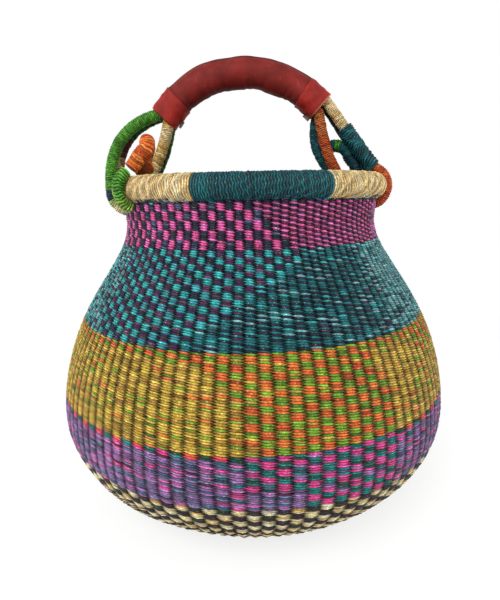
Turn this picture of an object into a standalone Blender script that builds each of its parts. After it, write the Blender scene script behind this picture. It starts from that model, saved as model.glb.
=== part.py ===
"""Round market basket of twined grass: flat base, full belly, narrow neck, wrapped rim,
and a rocking handle of wrapped grass ropes that meet in a leather-covered grip.
Metres, +Z up, the front of the basket faces -Y. Origin: middle of the flat base.
"""
import math

import bpy
import bmesh
from mathutils import Matrix, Vector

# Body profile, measured on the outside of the weave
BASE_RADIUS = 0.100
BELLY_RADIUS = 0.1847
BELLY_HEIGHT = 0.095
NECK_FLARE = 0.0008
NECK_DROP = 0.0283
LIP_FLARE = 0.0020
START_RADIUS = 0.031
START_THICKNESS = 0.0012
START_OVERLAP = 0.0010
BASE_SPREAD = 0.028
BASE_LIFT = 0.008
BELLY_HANDLE_DOWN_SHARE = 0.58
BELLY_HANDLE_UP_SHARE = 0.53
NECK_HANDLE_SHARE = 0.23
PROFILE_SAMPLES = 60

# Heights of the colour changes and of the bends between them
TURN_UP_HEIGHT = 0.008
HEEL_HEIGHT = 0.024
UPPER_BEND_HEIGHT = 0.046
PURPLE_HEIGHT = 0.074
OLIVE_HEIGHT = 0.117
OLIVE_BEND_HEIGHT = 0.150
TEAL_HEIGHT = 0.182
TEAL_BAND_RISE = 0.066
RIM_RISE = 0.0463

# The wall: outer weft, upright stakes, inner weft
WEFT_THICKNESS = 0.0010
STAKE_SLOT = 0.0024
STAKE_RADIUS = 0.00085
FACETS = 36
STAKES = 54
STAKE_SIDES = 3
RIB_CREST = 0.0006
RIB_VALLEY = 0.0005
SEAM_GAP = 0.0003

# Rim hoop and its wrapping
RIM_RING_RADIUS = 0.1166
RIM_TUBE_RADIUS = 0.0115
RIM_WRAP_THICKNESS = 0.0025
RIM_SIDES = 10
RIM_WRAP_GAP = 0.0010
FRONT_WRAP_SPAN = (250, 300)
RIGHT_WRAP_SPAN = (300, 430)
BACK_WRAP_SPAN = (70, 120)
LEFT_WRAP_SPAN = (120, 250)

# The bands stand on each other up to the rim, and the neck follows the rim that it carries
PINK_HEIGHT = TEAL_HEIGHT + TEAL_BAND_RISE
RIM_HEIGHT = PINK_HEIGHT + RIM_RISE
NECK_RADIUS = RIM_RING_RADIUS + NECK_FLARE
NECK_HEIGHT = RIM_HEIGHT - NECK_DROP
LIP_RADIUS = RIM_RING_RADIUS + LIP_FLARE

# Handle ropes. Each end of the grip has a front and a back rope, and each rope goes
# down outside the rim, under it through the weave, and up again inside.
HANDLE_SET_BACK = 0.010
ROPE_SPREAD = 0.0085
LEFT_ROPE_RADIUS = 0.0056
RIGHT_ROPE_RADIUS = 0.0052
LEFT_RIM_GAP = 0.0008
RIGHT_RIM_GAP = 0.0007
NOTCH_CLEARANCE = 0.0012
LEFT_TURN_ANGLES = (0, -180)
RIGHT_TURN_ANGLES = (60, -140)
TURN_LEAD = 0.0015
TURN_POINTS = 10
LEG_POINTS = 11
ROPE_RESOLUTION = 2

# Leather grip
GRIP_LEFT_INSET = 0.0376
GRIP_RIGHT_INSET = 0.0471
GRIP_LEFT_RISE = 0.0682
GRIP_RIGHT_RISE = 0.0747
GRIP_LEFT_HANDLE = 0.054
GRIP_RIGHT_HANDLE = 0.072
GRIP_LEFT_ANGLE = 54
GRIP_RIGHT_ANGLE = 43
GRIP_RADIUS = 0.0140
SLEEVE_THICKNESS = 0.0020
CUFF_LENGTH = 0.021
CUFF_THICKNESS = 0.0016
CUFF_GAP = 0.0008
CUFF_SEAM_RADIUS = 0.0152
CUFF_MOUTH_RADIUS = 0.0172
GRIP_POINTS = 10
CUFF_POINTS = 4
GRIP_RESOLUTION = 4
GRIP_SAMPLES = 200
MOUTH_OFFSET = 0.0059
MOUTH_LEAD = 0.002
ROPE_INSET = 0.003
STRAND_GAP = 0.0012
STRAND_RADIUS = 0.0042
STRAND_OFFSET = 0.0045
LACE_RADIUS = 0.0014
LACE_LENGTH = 0.007

# The small loop tied round the rim at the left front, and the arch and binding at the right
LEFT_ARCH_HEADING = 52
LEFT_ARCH_RADIUS = 0.0050
LEFT_END_RADIUS = 0.0045
ARCH_RIM_GAP = 0.0005
LEFT_ARCH_HEIGHT = 0.0376
RIGHT_ARCH_RADIUS = 0.0050
RIGHT_ARCH_HEIGHT = 0.0412
RIGHT_ARCH_REACH = 0.024
RIGHT_ARCH_BACK = 0.0092
PAIR_DISTANCE = 0.0102
BINDING_THICKNESS = 0.0014
BINDING_CLEARANCE = 0.0005
BINDING_FIRST_POINT = 2
BINDING_LAST_POINT = 8
BINDING_STEP = 2
ARCH_POINTS = 21

MERGE_DISTANCE = 0.00001
FULL_TURN = 360
QUARTER_TURN = 90
LEAD_SHARE = 0.04
SHARP_ANGLE = 35


def clear_scene():
    for item in list(bpy.data.objects):
        bpy.data.objects.remove(item, do_unlink=True)


def collection(name):
    group = bpy.data.collections.new(name)
    bpy.context.scene.collection.children.link(group)
    return group


clear_scene()
BASKET = collection("bolga_basket")
GUIDES = collection("guides")


def material(name, colour, roughness):
    finish = bpy.data.materials.new(name)
    finish.use_nodes = True
    shader = finish.node_tree.nodes["Principled BSDF"]
    shader.inputs["Base Color"].default_value = (*colour, 1)
    shader.inputs["Roughness"].default_value = roughness
    shader.inputs["Metallic"].default_value = 0
    finish.diffuse_color = (*colour, 1)
    return finish


# Finishes: colour and roughness
STRAW_AND_BLACK = ((0.30, 0.25, 0.18), 0.7)
PURPLE_WEFT = ((0.21, 0.12, 0.25), 0.7)
OLIVE_WEFT = ((0.34, 0.27, 0.05), 0.7)
TEAL_WEFT = ((0.02, 0.14, 0.16), 0.7)
PINK_WEFT = ((0.35, 0.06, 0.20), 0.7)
BARE_STRAW = ((0.68, 0.52, 0.30), 0.7)
STRAW_WRAPPING = ((0.68, 0.52, 0.30), 0.6)
TEAL_WRAPPING = ((0.02, 0.14, 0.15), 0.6)
GREEN_WRAPPING = ((0.05, 0.20, 0.03), 0.6)
DARK_GREEN_WRAPPING = ((0.02, 0.08, 0.04), 0.6)
MAROON_WRAPPING = ((0.16, 0.04, 0.05), 0.6)
RUST_WRAPPING = ((0.36, 0.10, 0.03), 0.6)
ORANGE_WRAPPING = ((0.50, 0.12, 0.02), 0.6)
RED_BROWN_LEATHER = ((0.24, 0.03, 0.025), 0.55)
LACE_CORD = ((0.42, 0.36, 0.32), 0.7)


def place(item, finish, group=BASKET):
    """Puts a piece in its collection and gives it a material of its own."""
    for owner in list(item.users_collection):
        owner.objects.unlink(item)
    group.objects.link(item)
    item.data.materials.clear()
    item.data.materials.append(material(item.name, *finish))
    return item


def mesh_object(name, mesh, finish):
    return place(bpy.data.objects.new(name, mesh), finish)


def shade(mesh):
    mesh.shade_smooth()
    mesh.set_sharp_from_angle(angle=math.radians(SHARP_ANGLE))


def even_shares(count):
    return [step / (count - 1) for step in range(count)]


def led_shares(count):
    """Even shares with a short straight lead at each end, so that end faces stand square."""
    shares = even_shares(count)
    return [0, LEAD_SHARE] + shares[1:-1] + [1 - LEAD_SHARE, 1]


def bezier(start, start_handle, end_handle, end, shares):
    """Points along one cubic curve."""
    points = []
    for t in shares:
        s = 1 - t
        points.append(start * s ** 3 + start_handle * (3 * s * s * t)
                      + end_handle * (3 * s * t * t) + end * t ** 3)
    return points


def smooth_route(knots, shares):
    """Points on a Catmull-Rom curve through the knots."""
    ends = [knots[0] * 2 - knots[1]] + knots + [knots[-1] * 2 - knots[-2]]
    points = []
    for share in shares:
        place_along = share * (len(knots) - 1)
        index = min(int(place_along), len(knots) - 2)
        t = place_along - index
        a, b, c, d = ends[index:index + 4]
        points.append((b * 2 + (c - a) * t + (a * 2 - b * 5 + c * 4 - d) * t * t
                       + (b * 3 - a - c * 3 + d) * t ** 3) / 2)
    return points


# Body

LIP_HEIGHT = RIM_HEIGHT - RIM_TUBE_RADIUS - SEAM_GAP
WALL_THICKNESS = 2 * WEFT_THICKNESS + STAKE_SLOT
WALL_MIDDLE = WALL_THICKNESS / 2


def height_on(curve, height):
    """The point of a rising profile curve at a height."""
    for low, high in zip(curve, curve[1:]):
        if low.y <= height <= high.y:
            share = (height - low.y) / (high.y - low.y)
            return low.lerp(high, share)
    return curve[-1].copy()


def profile_point(height):
    """Outside of the weave at a height, as (radius, height)."""
    if height <= BELLY_HEIGHT:
        curve = bezier(Vector((BASE_RADIUS, 0)),
                       Vector((BASE_RADIUS + BASE_SPREAD, BASE_LIFT)),
                       Vector((BELLY_RADIUS, BELLY_HEIGHT * (1 - BELLY_HANDLE_DOWN_SHARE))),
                       Vector((BELLY_RADIUS, BELLY_HEIGHT)), even_shares(PROFILE_SAMPLES))
        return height_on(curve, height)
    if height <= NECK_HEIGHT:
        rise = NECK_HEIGHT - BELLY_HEIGHT
        curve = bezier(Vector((BELLY_RADIUS, BELLY_HEIGHT)),
                       Vector((BELLY_RADIUS, BELLY_HEIGHT + rise * BELLY_HANDLE_UP_SHARE)),
                       Vector((NECK_RADIUS, NECK_HEIGHT - rise * NECK_HANDLE_SHARE)),
                       Vector((NECK_RADIUS, NECK_HEIGHT)), even_shares(PROFILE_SAMPLES))
        return height_on(curve, height)
    share = (height - NECK_HEIGHT) / (LIP_HEIGHT - NECK_HEIGHT)
    return Vector((NECK_RADIUS + (LIP_RADIUS - NECK_RADIUS) * share, height))


HEIGHTS = [TURN_UP_HEIGHT, HEEL_HEIGHT, UPPER_BEND_HEIGHT, PURPLE_HEIGHT, BELLY_HEIGHT,
           OLIVE_HEIGHT, OLIVE_BEND_HEIGHT, TEAL_HEIGHT, PINK_HEIGHT, LIP_HEIGHT]
PROFILE = [Vector((0, 0)), Vector((BASE_RADIUS, 0))]
PROFILE += [profile_point(height) for height in HEIGHTS]


def outward(low, high):
    """Unit normal of a profile stretch, pointing out of the basket."""
    run = (high - low).normalized()
    return Vector((run.y, -run.x))


def offset_profile(depth):
    """The profile moved into the wall by a depth, with mitred bends."""
    moved = []
    for index, point in enumerate(PROFILE):
        before = outward(PROFILE[max(index - 1, 0)], PROFILE[max(index, 1)])
        last = len(PROFILE) - 1
        after = outward(PROFILE[min(index, last - 1)], PROFILE[min(index + 1, last)])
        mitre = (before + after).normalized()
        moved.append(point - mitre * (depth / mitre.dot(before)))
    return moved


def trimmed(points, start, end):
    """The same run with its two ends drawn back."""
    run = [point.copy() for point in points]
    run[0] += (points[1] - points[0]).normalized() * start
    run[-1] += (points[-2] - points[-1]).normalized() * end
    return run


def level(height):
    return HEIGHTS.index(height) + 2


def turned(name, outline, finish):
    """An outline at +X turned a full circle about Z. An edge on the axis is left open."""
    mesh = bpy.data.meshes.new(name)
    verts = [(point.x, 0, point.y) for point in outline]
    edges = []
    for index, point in enumerate(outline):
        after = (index + 1) % len(outline)
        if point.x > 0 or outline[after].x > 0:
            edges.append((index, after))
    mesh.from_pydata(verts, edges, [])
    item = mesh_object(name, mesh, finish)
    screw = item.modifiers.new("turn", "SCREW")
    screw.steps = FACETS
    screw.render_steps = FACETS
    screw.use_merge_vertices = True
    screw.merge_threshold = MERGE_DISTANCE
    screw.use_normal_calculate = False
    return item


def profile_run(depth, first, last, end_gap):
    """The profile between two of its points, at a depth in the wall, drawn back at its ends."""
    start_gap = SEAM_GAP / 2 if PROFILE[first].x > 0 else 0
    return trimmed(offset_profile(depth)[first:last + 1], start_gap, end_gap)


def weft_layer(name, first, last, depth, finish, end_gap):
    """One plain layer of weft between two profile points, at a depth in the wall."""
    outer = profile_run(depth, first, last, end_gap)
    inner = profile_run(depth + WEFT_THICKNESS, first, last, end_gap)
    return turned(name, outer[::-1] + inner, finish)


def spin_line(shaper, line, steps):
    """A line at +X turned a full circle, as a list of its vertices at each point of the line."""
    verts = [shaper.verts.new((point.x, 0, point.y)) for point in line]
    edges = [shaper.edges.new(pair) for pair in zip(verts, verts[1:])]
    before = set(shaper.verts) - set(verts)
    bmesh.ops.spin(shaper, geom=verts + edges, cent=(0, 0, 0), axis=(0, 0, 1),
                   angle=math.tau, steps=steps, use_merge=True)
    rings = [[] for _ in line]
    for vert in shaper.verts:
        if vert not in before:
            place_on_line = Vector((vert.co.xy.length, vert.co.z))
            nearest = min(range(len(line)), key=lambda k: (line[k] - place_on_line).length)
            rings[nearest].append(vert)
    return rings


def ribbed_layer(name, first, last, finish, end_gap):
    """An outer layer of weft: upright ribs outside, where it bulges over the stakes, and a
    plain turned face inside."""
    crest = profile_run(-RIB_CREST, first, last, end_gap)
    valley = profile_run(RIB_VALLEY, first, last, end_gap)
    inner = profile_run(WEFT_THICKNESS, first, last, end_gap)
    shaper = bmesh.new()
    outer_rings = spin_line(shaper, crest, STAKES * 2)
    for ring, low in zip(outer_rings, valley):
        for vert in ring:
            turn = math.atan2(vert.co.y, vert.co.x) / math.tau * STAKES * 2
            if round(turn) % 2 == 0:
                vert.co.xy = vert.co.xy.normalized() * low.x
                vert.co.z = low.y
    inner_rings = spin_line(shaper, inner, FACETS)
    for end in (0, -1):
        ends = set(outer_rings[end] + inner_rings[end])
        edges = [edge for edge in shaper.edges if edge.is_boundary and set(edge.verts) <= ends]
        bmesh.ops.bridge_loops(shaper, edges=edges)
    bmesh.ops.recalc_face_normals(shaper, faces=shaper.faces)
    mesh = bpy.data.meshes.new(name)
    shaper.to_mesh(mesh)
    shaper.free()
    return mesh_object(name, mesh, finish)


def plain_band(name, first, last, finish, end_gap=SEAM_GAP / 2):
    """A woven band: an outer and an inner layer of weft, with the stakes between them."""
    return (weft_layer(name + "_outer", first, last, 0, finish, end_gap),
            weft_layer(name + "_inner", first, last, WEFT_THICKNESS + STAKE_SLOT, finish,
                       end_gap))


def ribbed_band(name, first, last, finish, end_gap=SEAM_GAP / 2):
    """A woven band whose outer layer has a rib over each stake."""
    return (ribbed_layer(name + "_outer", first, last, finish, end_gap),
            weft_layer(name + "_inner", first, last, WEFT_THICKNESS + STAKE_SLOT, finish,
                       end_gap))


def make_body():
    plain_band("floor_band", 0, 1, STRAW_AND_BLACK)
    plain_band("heel_band", 1, level(HEEL_HEIGHT), STRAW_AND_BLACK)
    ribbed_band("base_band", level(HEEL_HEIGHT), level(PURPLE_HEIGHT), STRAW_AND_BLACK)
    ribbed_band("purple_band", level(PURPLE_HEIGHT), level(OLIVE_HEIGHT), PURPLE_WEFT)
    ribbed_band("olive_band", level(OLIVE_HEIGHT), level(TEAL_HEIGHT), OLIVE_WEFT)
    ribbed_band("teal_band", level(TEAL_HEIGHT), level(PINK_HEIGHT), TEAL_WEFT)
    neck = ribbed_band("pink_band", level(PINK_HEIGHT), level(LIP_HEIGHT), PINK_WEFT, 0)
    notches = notch_cutter()
    for layer in neck:
        cut = layer.modifiers.new("notches", "BOOLEAN")
        cut.operation = "DIFFERENCE"
        cut.object = notches
    make_stakes()


# Rope places at the rim

ROPES = {"left": (-1, LEFT_ROPE_RADIUS, LEFT_RIM_GAP, LEFT_TURN_ANGLES),
         "right": (1, RIGHT_ROPE_RADIUS, RIGHT_RIM_GAP, RIGHT_TURN_ANGLES)}
ROWS = {"front": -1, "back": 1}


def rope_back(row):
    """How far behind the basket's middle a rope of this row crosses the rim."""
    return HANDLE_SET_BACK + ROWS[row] * ROPE_SPREAD


def rim_direction(side, back):
    """Unit vector out to the rim at a side, a distance behind the middle."""
    across = math.sqrt(RIM_RING_RADIUS ** 2 - back ** 2)
    return Vector((side * across, back, 0)) / RIM_RING_RADIUS


def around_rim(side, back, reach, angle):
    """A point round the rim tube. Angle 0 is outside, 90 on top, 180 inside."""
    out = rim_direction(side, back)
    turn = math.radians(angle)
    centre = out * RIM_RING_RADIUS + Vector((0, 0, RIM_HEIGHT))
    return centre + out * (reach * math.cos(turn)) + Vector((0, 0, reach * math.sin(turn)))


def turn_reach(side_name):
    _, radius, gap, _ = ROPES[side_name]
    return RIM_TUBE_RADIUS + gap + radius


def notch_floor(side_name):
    return RIM_HEIGHT - turn_reach(side_name) - ROPES[side_name][1] - NOTCH_CLEARANCE


def notch_half_width(side_name):
    return ROPES[side_name][1] + NOTCH_CLEARANCE


def guide_object(name, data):
    """A cutter or a helper shape, kept out of the model."""
    guide = bpy.data.objects.new(name, data)
    GUIDES.objects.link(guide)
    guide.hide_render = True
    guide.display_type = "WIRE"
    return guide


def notch_cutter():
    """Gaps in the top of the weave that let the handle ropes through under the rim."""
    shaper = bmesh.new()
    for side_name, (side, *_) in ROPES.items():
        for row in ROWS:
            out = rim_direction(side, rope_back(row))
            floor = notch_floor(side_name)
            tall = RIM_HEIGHT - floor
            matrix = (Matrix.Translation(out * RIM_RING_RADIUS + Vector((0, 0, floor + tall / 2)))
                      @ Matrix.Rotation(math.atan2(out.y, out.x), 4, "Z")
                      @ Matrix.Diagonal((RIM_TUBE_RADIUS * 2, notch_half_width(side_name) * 2,
                                         tall, 1)))
            bmesh.ops.create_cube(shaper, size=1, matrix=matrix)
    mesh = bpy.data.meshes.new("rope_notches")
    shaper.to_mesh(mesh)
    shaper.free()
    return guide_object("rope_notches", mesh)


def stake_mesh(top):
    """One upright stake at +X: a thin three-sided rod bent along the middle of the wall."""
    middle = offset_profile(WALL_MIDDLE)
    below = sum(point.y < top - SEAM_GAP for point in middle)
    route = middle[:min(below, len(middle) - 1)]
    last = route[-1]
    rise = middle[len(route)] - last
    route.append(last + rise * ((top - last.y) / rise.y))
    route[0].x = START_RADIUS - START_OVERLAP
    route = trimmed(route, 0, SEAM_GAP)
    section = bpy.data.curves.new("stake_section", "CURVE")
    section.dimensions = "2D"
    corner = section.splines.new("POLY")
    corner.points.add(STAKE_SIDES - 1)
    for index in range(STAKE_SIDES):
        turn = math.tau * index / STAKE_SIDES
        corner.points[index].co = (STAKE_RADIUS * math.cos(turn), STAKE_RADIUS * math.sin(turn),
                                   0, 1)
    corner.use_cyclic_u = True
    guide = guide_object("stake_section", section)
    curve = poly_curve("stake", [Vector((point.x, 0, point.y)) for point in route])
    curve.bevel_mode = "OBJECT"
    curve.bevel_object = guide
    curve.use_fill_caps = True
    mesh = curve_mesh("stake", curve)
    bpy.data.objects.remove(guide, do_unlink=True)
    return mesh


def poly_curve(name, points, radii=None):
    curve = bpy.data.curves.new(name, "CURVE")
    curve.dimensions = "3D"
    spline = curve.splines.new("POLY")
    spline.points.add(len(points) - 1)
    for index, point in enumerate(points):
        spline.points[index].co = (*point, 1)
        if radii:
            spline.points[index].radius = radii[index]
    return curve


def curve_mesh(name, curve):
    """The curve's own tube as a mesh, with its caps welded on."""
    holder = bpy.data.objects.new(name, curve)
    bpy.context.scene.collection.objects.link(holder)
    graph = bpy.context.evaluated_depsgraph_get()
    mesh = bpy.data.meshes.new_from_object(holder.evaluated_get(graph))
    bpy.data.objects.remove(holder, do_unlink=True)
    shaper = bmesh.new()
    shaper.from_mesh(mesh)
    bmesh.ops.remove_doubles(shaper, verts=shaper.verts, dist=MERGE_DISTANCE)
    bmesh.ops.recalc_face_normals(shaper, faces=shaper.faces)
    shaper.to_mesh(mesh)
    shaper.free()
    return mesh


def stake_top(angle):
    """Where a stake ends: under the rim, or under the notch that a rope passes through."""
    for side_name, (side, *_) in ROPES.items():
        for row in ROWS:
            out = rim_direction(side, rope_back(row))
            away = angle - math.atan2(out.y, out.x)
            across = RIM_RING_RADIUS * math.sin(away)
            clear = notch_half_width(side_name) + STAKE_RADIUS + SEAM_GAP
            if math.cos(away) > 0 and abs(across) < clear:
                return notch_floor(side_name)
    return LIP_HEIGHT


def make_stakes():
    """The stakes, which fan out from the start of the base, between the two weft layers."""
    tops = {}
    shaper = bmesh.new()
    facet = math.tau / FACETS
    for index in range(STAKES):
        angle = math.tau / STAKES * (index + 0.5)
        top = stake_top(angle)
        if top not in tops:
            tops[top] = stake_mesh(top)
        middle = facet * (math.floor(angle / facet) + 0.5)
        on_flat = math.cos(facet / 2) / math.cos(angle - middle)
        before = len(shaper.verts)
        shaper.from_mesh(tops[top])
        shaper.verts.ensure_lookup_table()
        matrix = Matrix.Rotation(angle, 4, "Z") @ Matrix.Diagonal((on_flat, 1, 1, 1))
        bmesh.ops.transform(shaper, matrix=matrix, verts=shaper.verts[before:])
    rods = bpy.data.meshes.new("stake_rods")
    shaper.to_mesh(rods)
    shaper.free()
    hub = bpy.data.meshes.new("stakes")
    shaper = bmesh.new()
    bmesh.ops.create_cone(shaper, cap_ends=True, segments=FACETS,
                          radius1=START_RADIUS, radius2=START_RADIUS, depth=START_THICKNESS,
                          matrix=Matrix.Translation((0, 0, WALL_MIDDLE)))
    shaper.to_mesh(hub)
    shaper.free()
    stakes = mesh_object("stakes", hub, BARE_STRAW)
    join = stakes.modifiers.new("rods", "BOOLEAN")
    join.operation = "UNION"
    join.object = guide_object("stake_rods", rods)


# Rim

RIM_CORE_RADIUS = RIM_TUBE_RADIUS - RIM_WRAP_THICKNESS - SEAM_GAP


def make_rim():
    core = bpy.data.meshes.new("rim_core")
    section = ring_outline(RIM_CORE_RADIUS)
    place_turned_tube("rim_core", core, section, (0, FULL_TURN), BARE_STRAW)
    wraps = (("rim_wrap_front", FRONT_WRAP_SPAN, TEAL_WRAPPING),
             ("rim_wrap_right", RIGHT_WRAP_SPAN, STRAW_WRAPPING),
             ("rim_wrap_back", BACK_WRAP_SPAN, TEAL_WRAPPING),
             ("rim_wrap_left", LEFT_WRAP_SPAN, STRAW_WRAPPING))
    for name, span, finish in wraps:
        mesh = bpy.data.meshes.new(name)
        section = ring_outline(RIM_TUBE_RADIUS)
        item = place_turned_tube(name, mesh, section, span, finish)
        wall = item.modifiers.new("wall", "SOLIDIFY")
        wall.thickness = RIM_WRAP_THICKNESS
        wall.offset = -1
        wall.use_even_offset = True


def ring_outline(radius):
    """The rim tube's round section at +X."""
    outline = []
    for index in range(RIM_SIDES):
        turn = math.tau * (index + 0.5) / RIM_SIDES
        outline.append(Vector((RIM_RING_RADIUS + radius * math.cos(turn),
                               RIM_HEIGHT + radius * math.sin(turn))))
    return outline[::-1]


def place_turned_tube(name, mesh, section, span, finish):
    """A round section turned about Z from one heading to another."""
    start, end = span
    closed = end - start == FULL_TURN
    gap = 0 if closed else math.degrees(RIM_WRAP_GAP / 2 / RIM_RING_RADIUS)
    heading = Matrix.Rotation(math.radians(start + gap), 3, "Z")
    verts = [heading @ Vector((point.x, 0, point.y)) for point in section]
    edges = [(k, (k + 1) % len(verts)) for k in range(len(verts))]
    mesh.from_pydata(verts, edges, [])
    item = mesh_object(name, mesh, finish)
    screw = item.modifiers.new("turn", "SCREW")
    screw.angle = math.radians(end - start - 2 * gap)
    screw.steps = round((end - start) * FACETS / FULL_TURN)
    screw.render_steps = screw.steps
    screw.use_merge_vertices = closed
    screw.merge_threshold = MERGE_DISTANCE
    screw.use_normal_calculate = False
    return item


# Handle ropes

PIVOT = Vector((0, HANDLE_SET_BACK, RIM_HEIGHT))


def make_pivot():
    """An empty on the axis that the handle rocks about, through the rim."""
    pivot = bpy.data.objects.new("handle_pivot", None)
    pivot.location = PIVOT
    BASKET.objects.link(pivot)
    return pivot


HANDLE_PIVOT = make_pivot()


def rocks(item):
    """Hangs a piece on the handle's pivot, in its place."""
    item.parent = HANDLE_PIVOT
    item.matrix_parent_inverse = Matrix.Translation(PIVOT).inverted()


def rope(name, points, radius, finish):
    curve = poly_curve(name, points)
    curve.bevel_depth = radius
    curve.bevel_resolution = ROPE_RESOLUTION
    curve.use_fill_caps = True
    mesh = curve_mesh(name, curve)
    shade(mesh)
    return mesh_object(name, mesh, finish)


def grip_handles():
    """The four control points of the grip's centre line."""
    left = Vector((GRIP_LEFT_INSET - RIM_RING_RADIUS, HANDLE_SET_BACK,
                   RIM_HEIGHT + GRIP_LEFT_RISE))
    right = Vector((RIM_RING_RADIUS - GRIP_RIGHT_INSET, HANDLE_SET_BACK,
                    RIM_HEIGHT + GRIP_RIGHT_RISE))
    up_left = math.radians(GRIP_LEFT_ANGLE)
    up_right = math.radians(GRIP_RIGHT_ANGLE)
    left_pull = Vector((math.cos(up_left), 0, math.sin(up_left))) * GRIP_LEFT_HANDLE
    right_pull = Vector((-math.cos(up_right), 0, math.sin(up_right))) * GRIP_RIGHT_HANDLE
    return left, left + left_pull, right + right_pull, right


def grip_stretch(start, end, count):
    """Points on the grip's centre line between two distances from its left end."""
    line = bezier(*grip_handles(), even_shares(GRIP_SAMPLES))
    travelled = [0]
    for before, after in zip(line, line[1:]):
        travelled.append(travelled[-1] + (after - before).length)
    points = []
    for along in led_shares(count):
        target = start + (end - start) * along
        index = 0
        while index < len(line) - 2 and travelled[index + 1] < target:
            index += 1
        share = (target - travelled[index]) / (travelled[index + 1] - travelled[index])
        points.append(line[index].lerp(line[index + 1], share))
    return points


def grip_length():
    line = bezier(*grip_handles(), even_shares(GRIP_SAMPLES))
    return sum((after - before).length for before, after in zip(line, line[1:]))


def mouth(side):
    """Centre of a cuff's mouth, its axis out of the cuff and its outer-side normal."""
    left, left_handle, right_handle, right = grip_handles()
    centre = left if side < 0 else right
    axis = (left - left_handle if side < 0 else right - right_handle).normalized()
    outer = Vector((-axis.z, 0, axis.x)) * side
    return centre, axis, outer


def leg(side_name, row, outside, rim_pull, cuff_pull, leave):
    """A rope between its turn under the rim and its place in the cuff's mouth."""
    side, _, _, angles = ROPES[side_name]
    angle = angles[0] if outside else angles[1]
    back = rope_back(row)
    reach = turn_reach(side_name)
    foot = around_rim(side, back, reach, angle)
    ahead = around_rim(side, back, reach, angle + (QUARTER_TURN if outside else -QUARTER_TURN))
    centre = around_rim(side, back, 0, 0)
    upward = (ahead - centre).normalized()
    middle, axis, outer = mouth(side)
    seat = middle + outer * (MOUTH_OFFSET if outside else -MOUTH_OFFSET)
    seat += axis * MOUTH_LEAD
    seat.y += ROWS[row] * MOUTH_OFFSET
    away = Vector((side * leave[0], ROWS[row] * leave[1], leave[2])).normalized()
    foot += upward * (TURN_LEAD + SEAM_GAP)
    run = bezier(foot, foot + upward * rim_pull, seat + away * cuff_pull, seat,
                 led_shares(LEG_POINTS))
    return run + [seat - axis * (ROPE_INSET + MOUTH_LEAD)]


# Each leg: side, row, outside the rim, pull at the rim, pull at the cuff, way out of the cuff
LEFT_OUTER_PULLS = (0.0268, 0.0430)
LEFT_INNER_PULLS = (0.012, 0.040)
RIGHT_OUTER_PULLS = (0.012, 0.030)
RIGHT_FRONT_INNER_PULLS = (0.044, 0.030)
RIGHT_BACK_INNER_PULLS = (0.054, 0.034)
LEFT_OUTER_LEAVE = (0.97, 0.10, -0.25)
LEFT_INNER_LEAVE = (0.21, 0.08, -0.98)
RIGHT_OUTER_LEAVE = (0.60, 0.08, -0.80)
RIGHT_FRONT_INNER_LEAVE = (0.20, 0.08, -1)
RIGHT_BACK_INNER_LEAVE = (-0.15, 0.08, -1)


LEGS = (("left_front_outer_leg", "left", "front", True, LEFT_OUTER_PULLS, LEFT_OUTER_LEAVE,
         GREEN_WRAPPING),
        ("left_front_inner_leg", "left", "front", False, LEFT_INNER_PULLS, LEFT_INNER_LEAVE,
         STRAW_WRAPPING),
        ("left_back_outer_leg", "left", "back", True, LEFT_OUTER_PULLS, LEFT_OUTER_LEAVE,
         MAROON_WRAPPING),
        ("left_back_inner_leg", "left", "back", False, LEFT_INNER_PULLS, LEFT_INNER_LEAVE,
         DARK_GREEN_WRAPPING),
        ("right_front_outer_leg", "right", "front", True, RIGHT_OUTER_PULLS, RIGHT_OUTER_LEAVE,
         STRAW_WRAPPING),
        ("right_front_inner_leg", "right", "front", False, RIGHT_FRONT_INNER_PULLS,
         RIGHT_FRONT_INNER_LEAVE, RUST_WRAPPING),
        ("right_back_outer_leg", "right", "back", True, RIGHT_OUTER_PULLS, RIGHT_OUTER_LEAVE,
         DARK_GREEN_WRAPPING),
        ("right_back_inner_leg", "right", "back", False, RIGHT_BACK_INNER_PULLS,
         RIGHT_BACK_INNER_LEAVE, TEAL_WRAPPING))


def make_legs():
    for name, side_name, row, outside, pulls, leave, finish in LEGS:
        points = leg(side_name, row, outside, *pulls, leave)
        rocks(rope(name, points, ROPES[side_name][1], finish))


def make_turns():
    """The part of each rope that goes under the rim, fixed to the basket."""
    finishes = {"left": STRAW_WRAPPING, "right": ORANGE_WRAPPING}
    for side_name, (side, radius, _, angles) in ROPES.items():
        start, end = angles
        for row in ROWS:
            back = rope_back(row)
            reach = turn_reach(side_name)
            centre = around_rim(side, back, 0, 0)
            points = [around_rim(side, back, reach, start + (end - start) * share)
                      for share in even_shares(TURN_POINTS)]
            first = around_rim(side, back, reach, start + QUARTER_TURN) - centre
            last = around_rim(side, back, reach, end - QUARTER_TURN) - centre
            points = ([points[0] + first.normalized() * TURN_LEAD] + points
                      + [points[-1] + last.normalized() * TURN_LEAD])
            rope(side_name + "_" + row + "_turn", points, radius, finishes[side_name])


# Tying arches

LEFT_ARCH_BACK = -RIM_RING_RADIUS * math.cos(math.radians(LEFT_ARCH_HEADING))
LEFT_END_REACH = RIM_TUBE_RADIUS + ARCH_RIM_GAP + LEFT_END_RADIUS
LEFT_ARCH_REACH = RIM_TUBE_RADIUS + ARCH_RIM_GAP + LEFT_ARCH_RADIUS
LEFT_FRONT_END_ANGLES = (-62, -28, 5, 38, 70)
LEFT_BACK_END_ANGLES = (140, 164, 188, 212, 236)
LEFT_ARCH_FOOT_ANGLES = (80, 122)
# Shares of the arch's height: out from the rim's ring, back along the rim, and up
LEFT_ARCH_SHARES = ((0.03, -0.02, 0.53), (-0.04, -0.07, 0.64), (-0.14, -0.11, 0.76),
                    (-0.235, -0.13, 0.88), (-0.305, 0, 1.015), (-0.365, 0.135, 0.88),
                    (-0.30, 0.17, 0.73), (-0.255, 0.16, 0.57), (-0.25, 0.09, 0.45))


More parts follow.
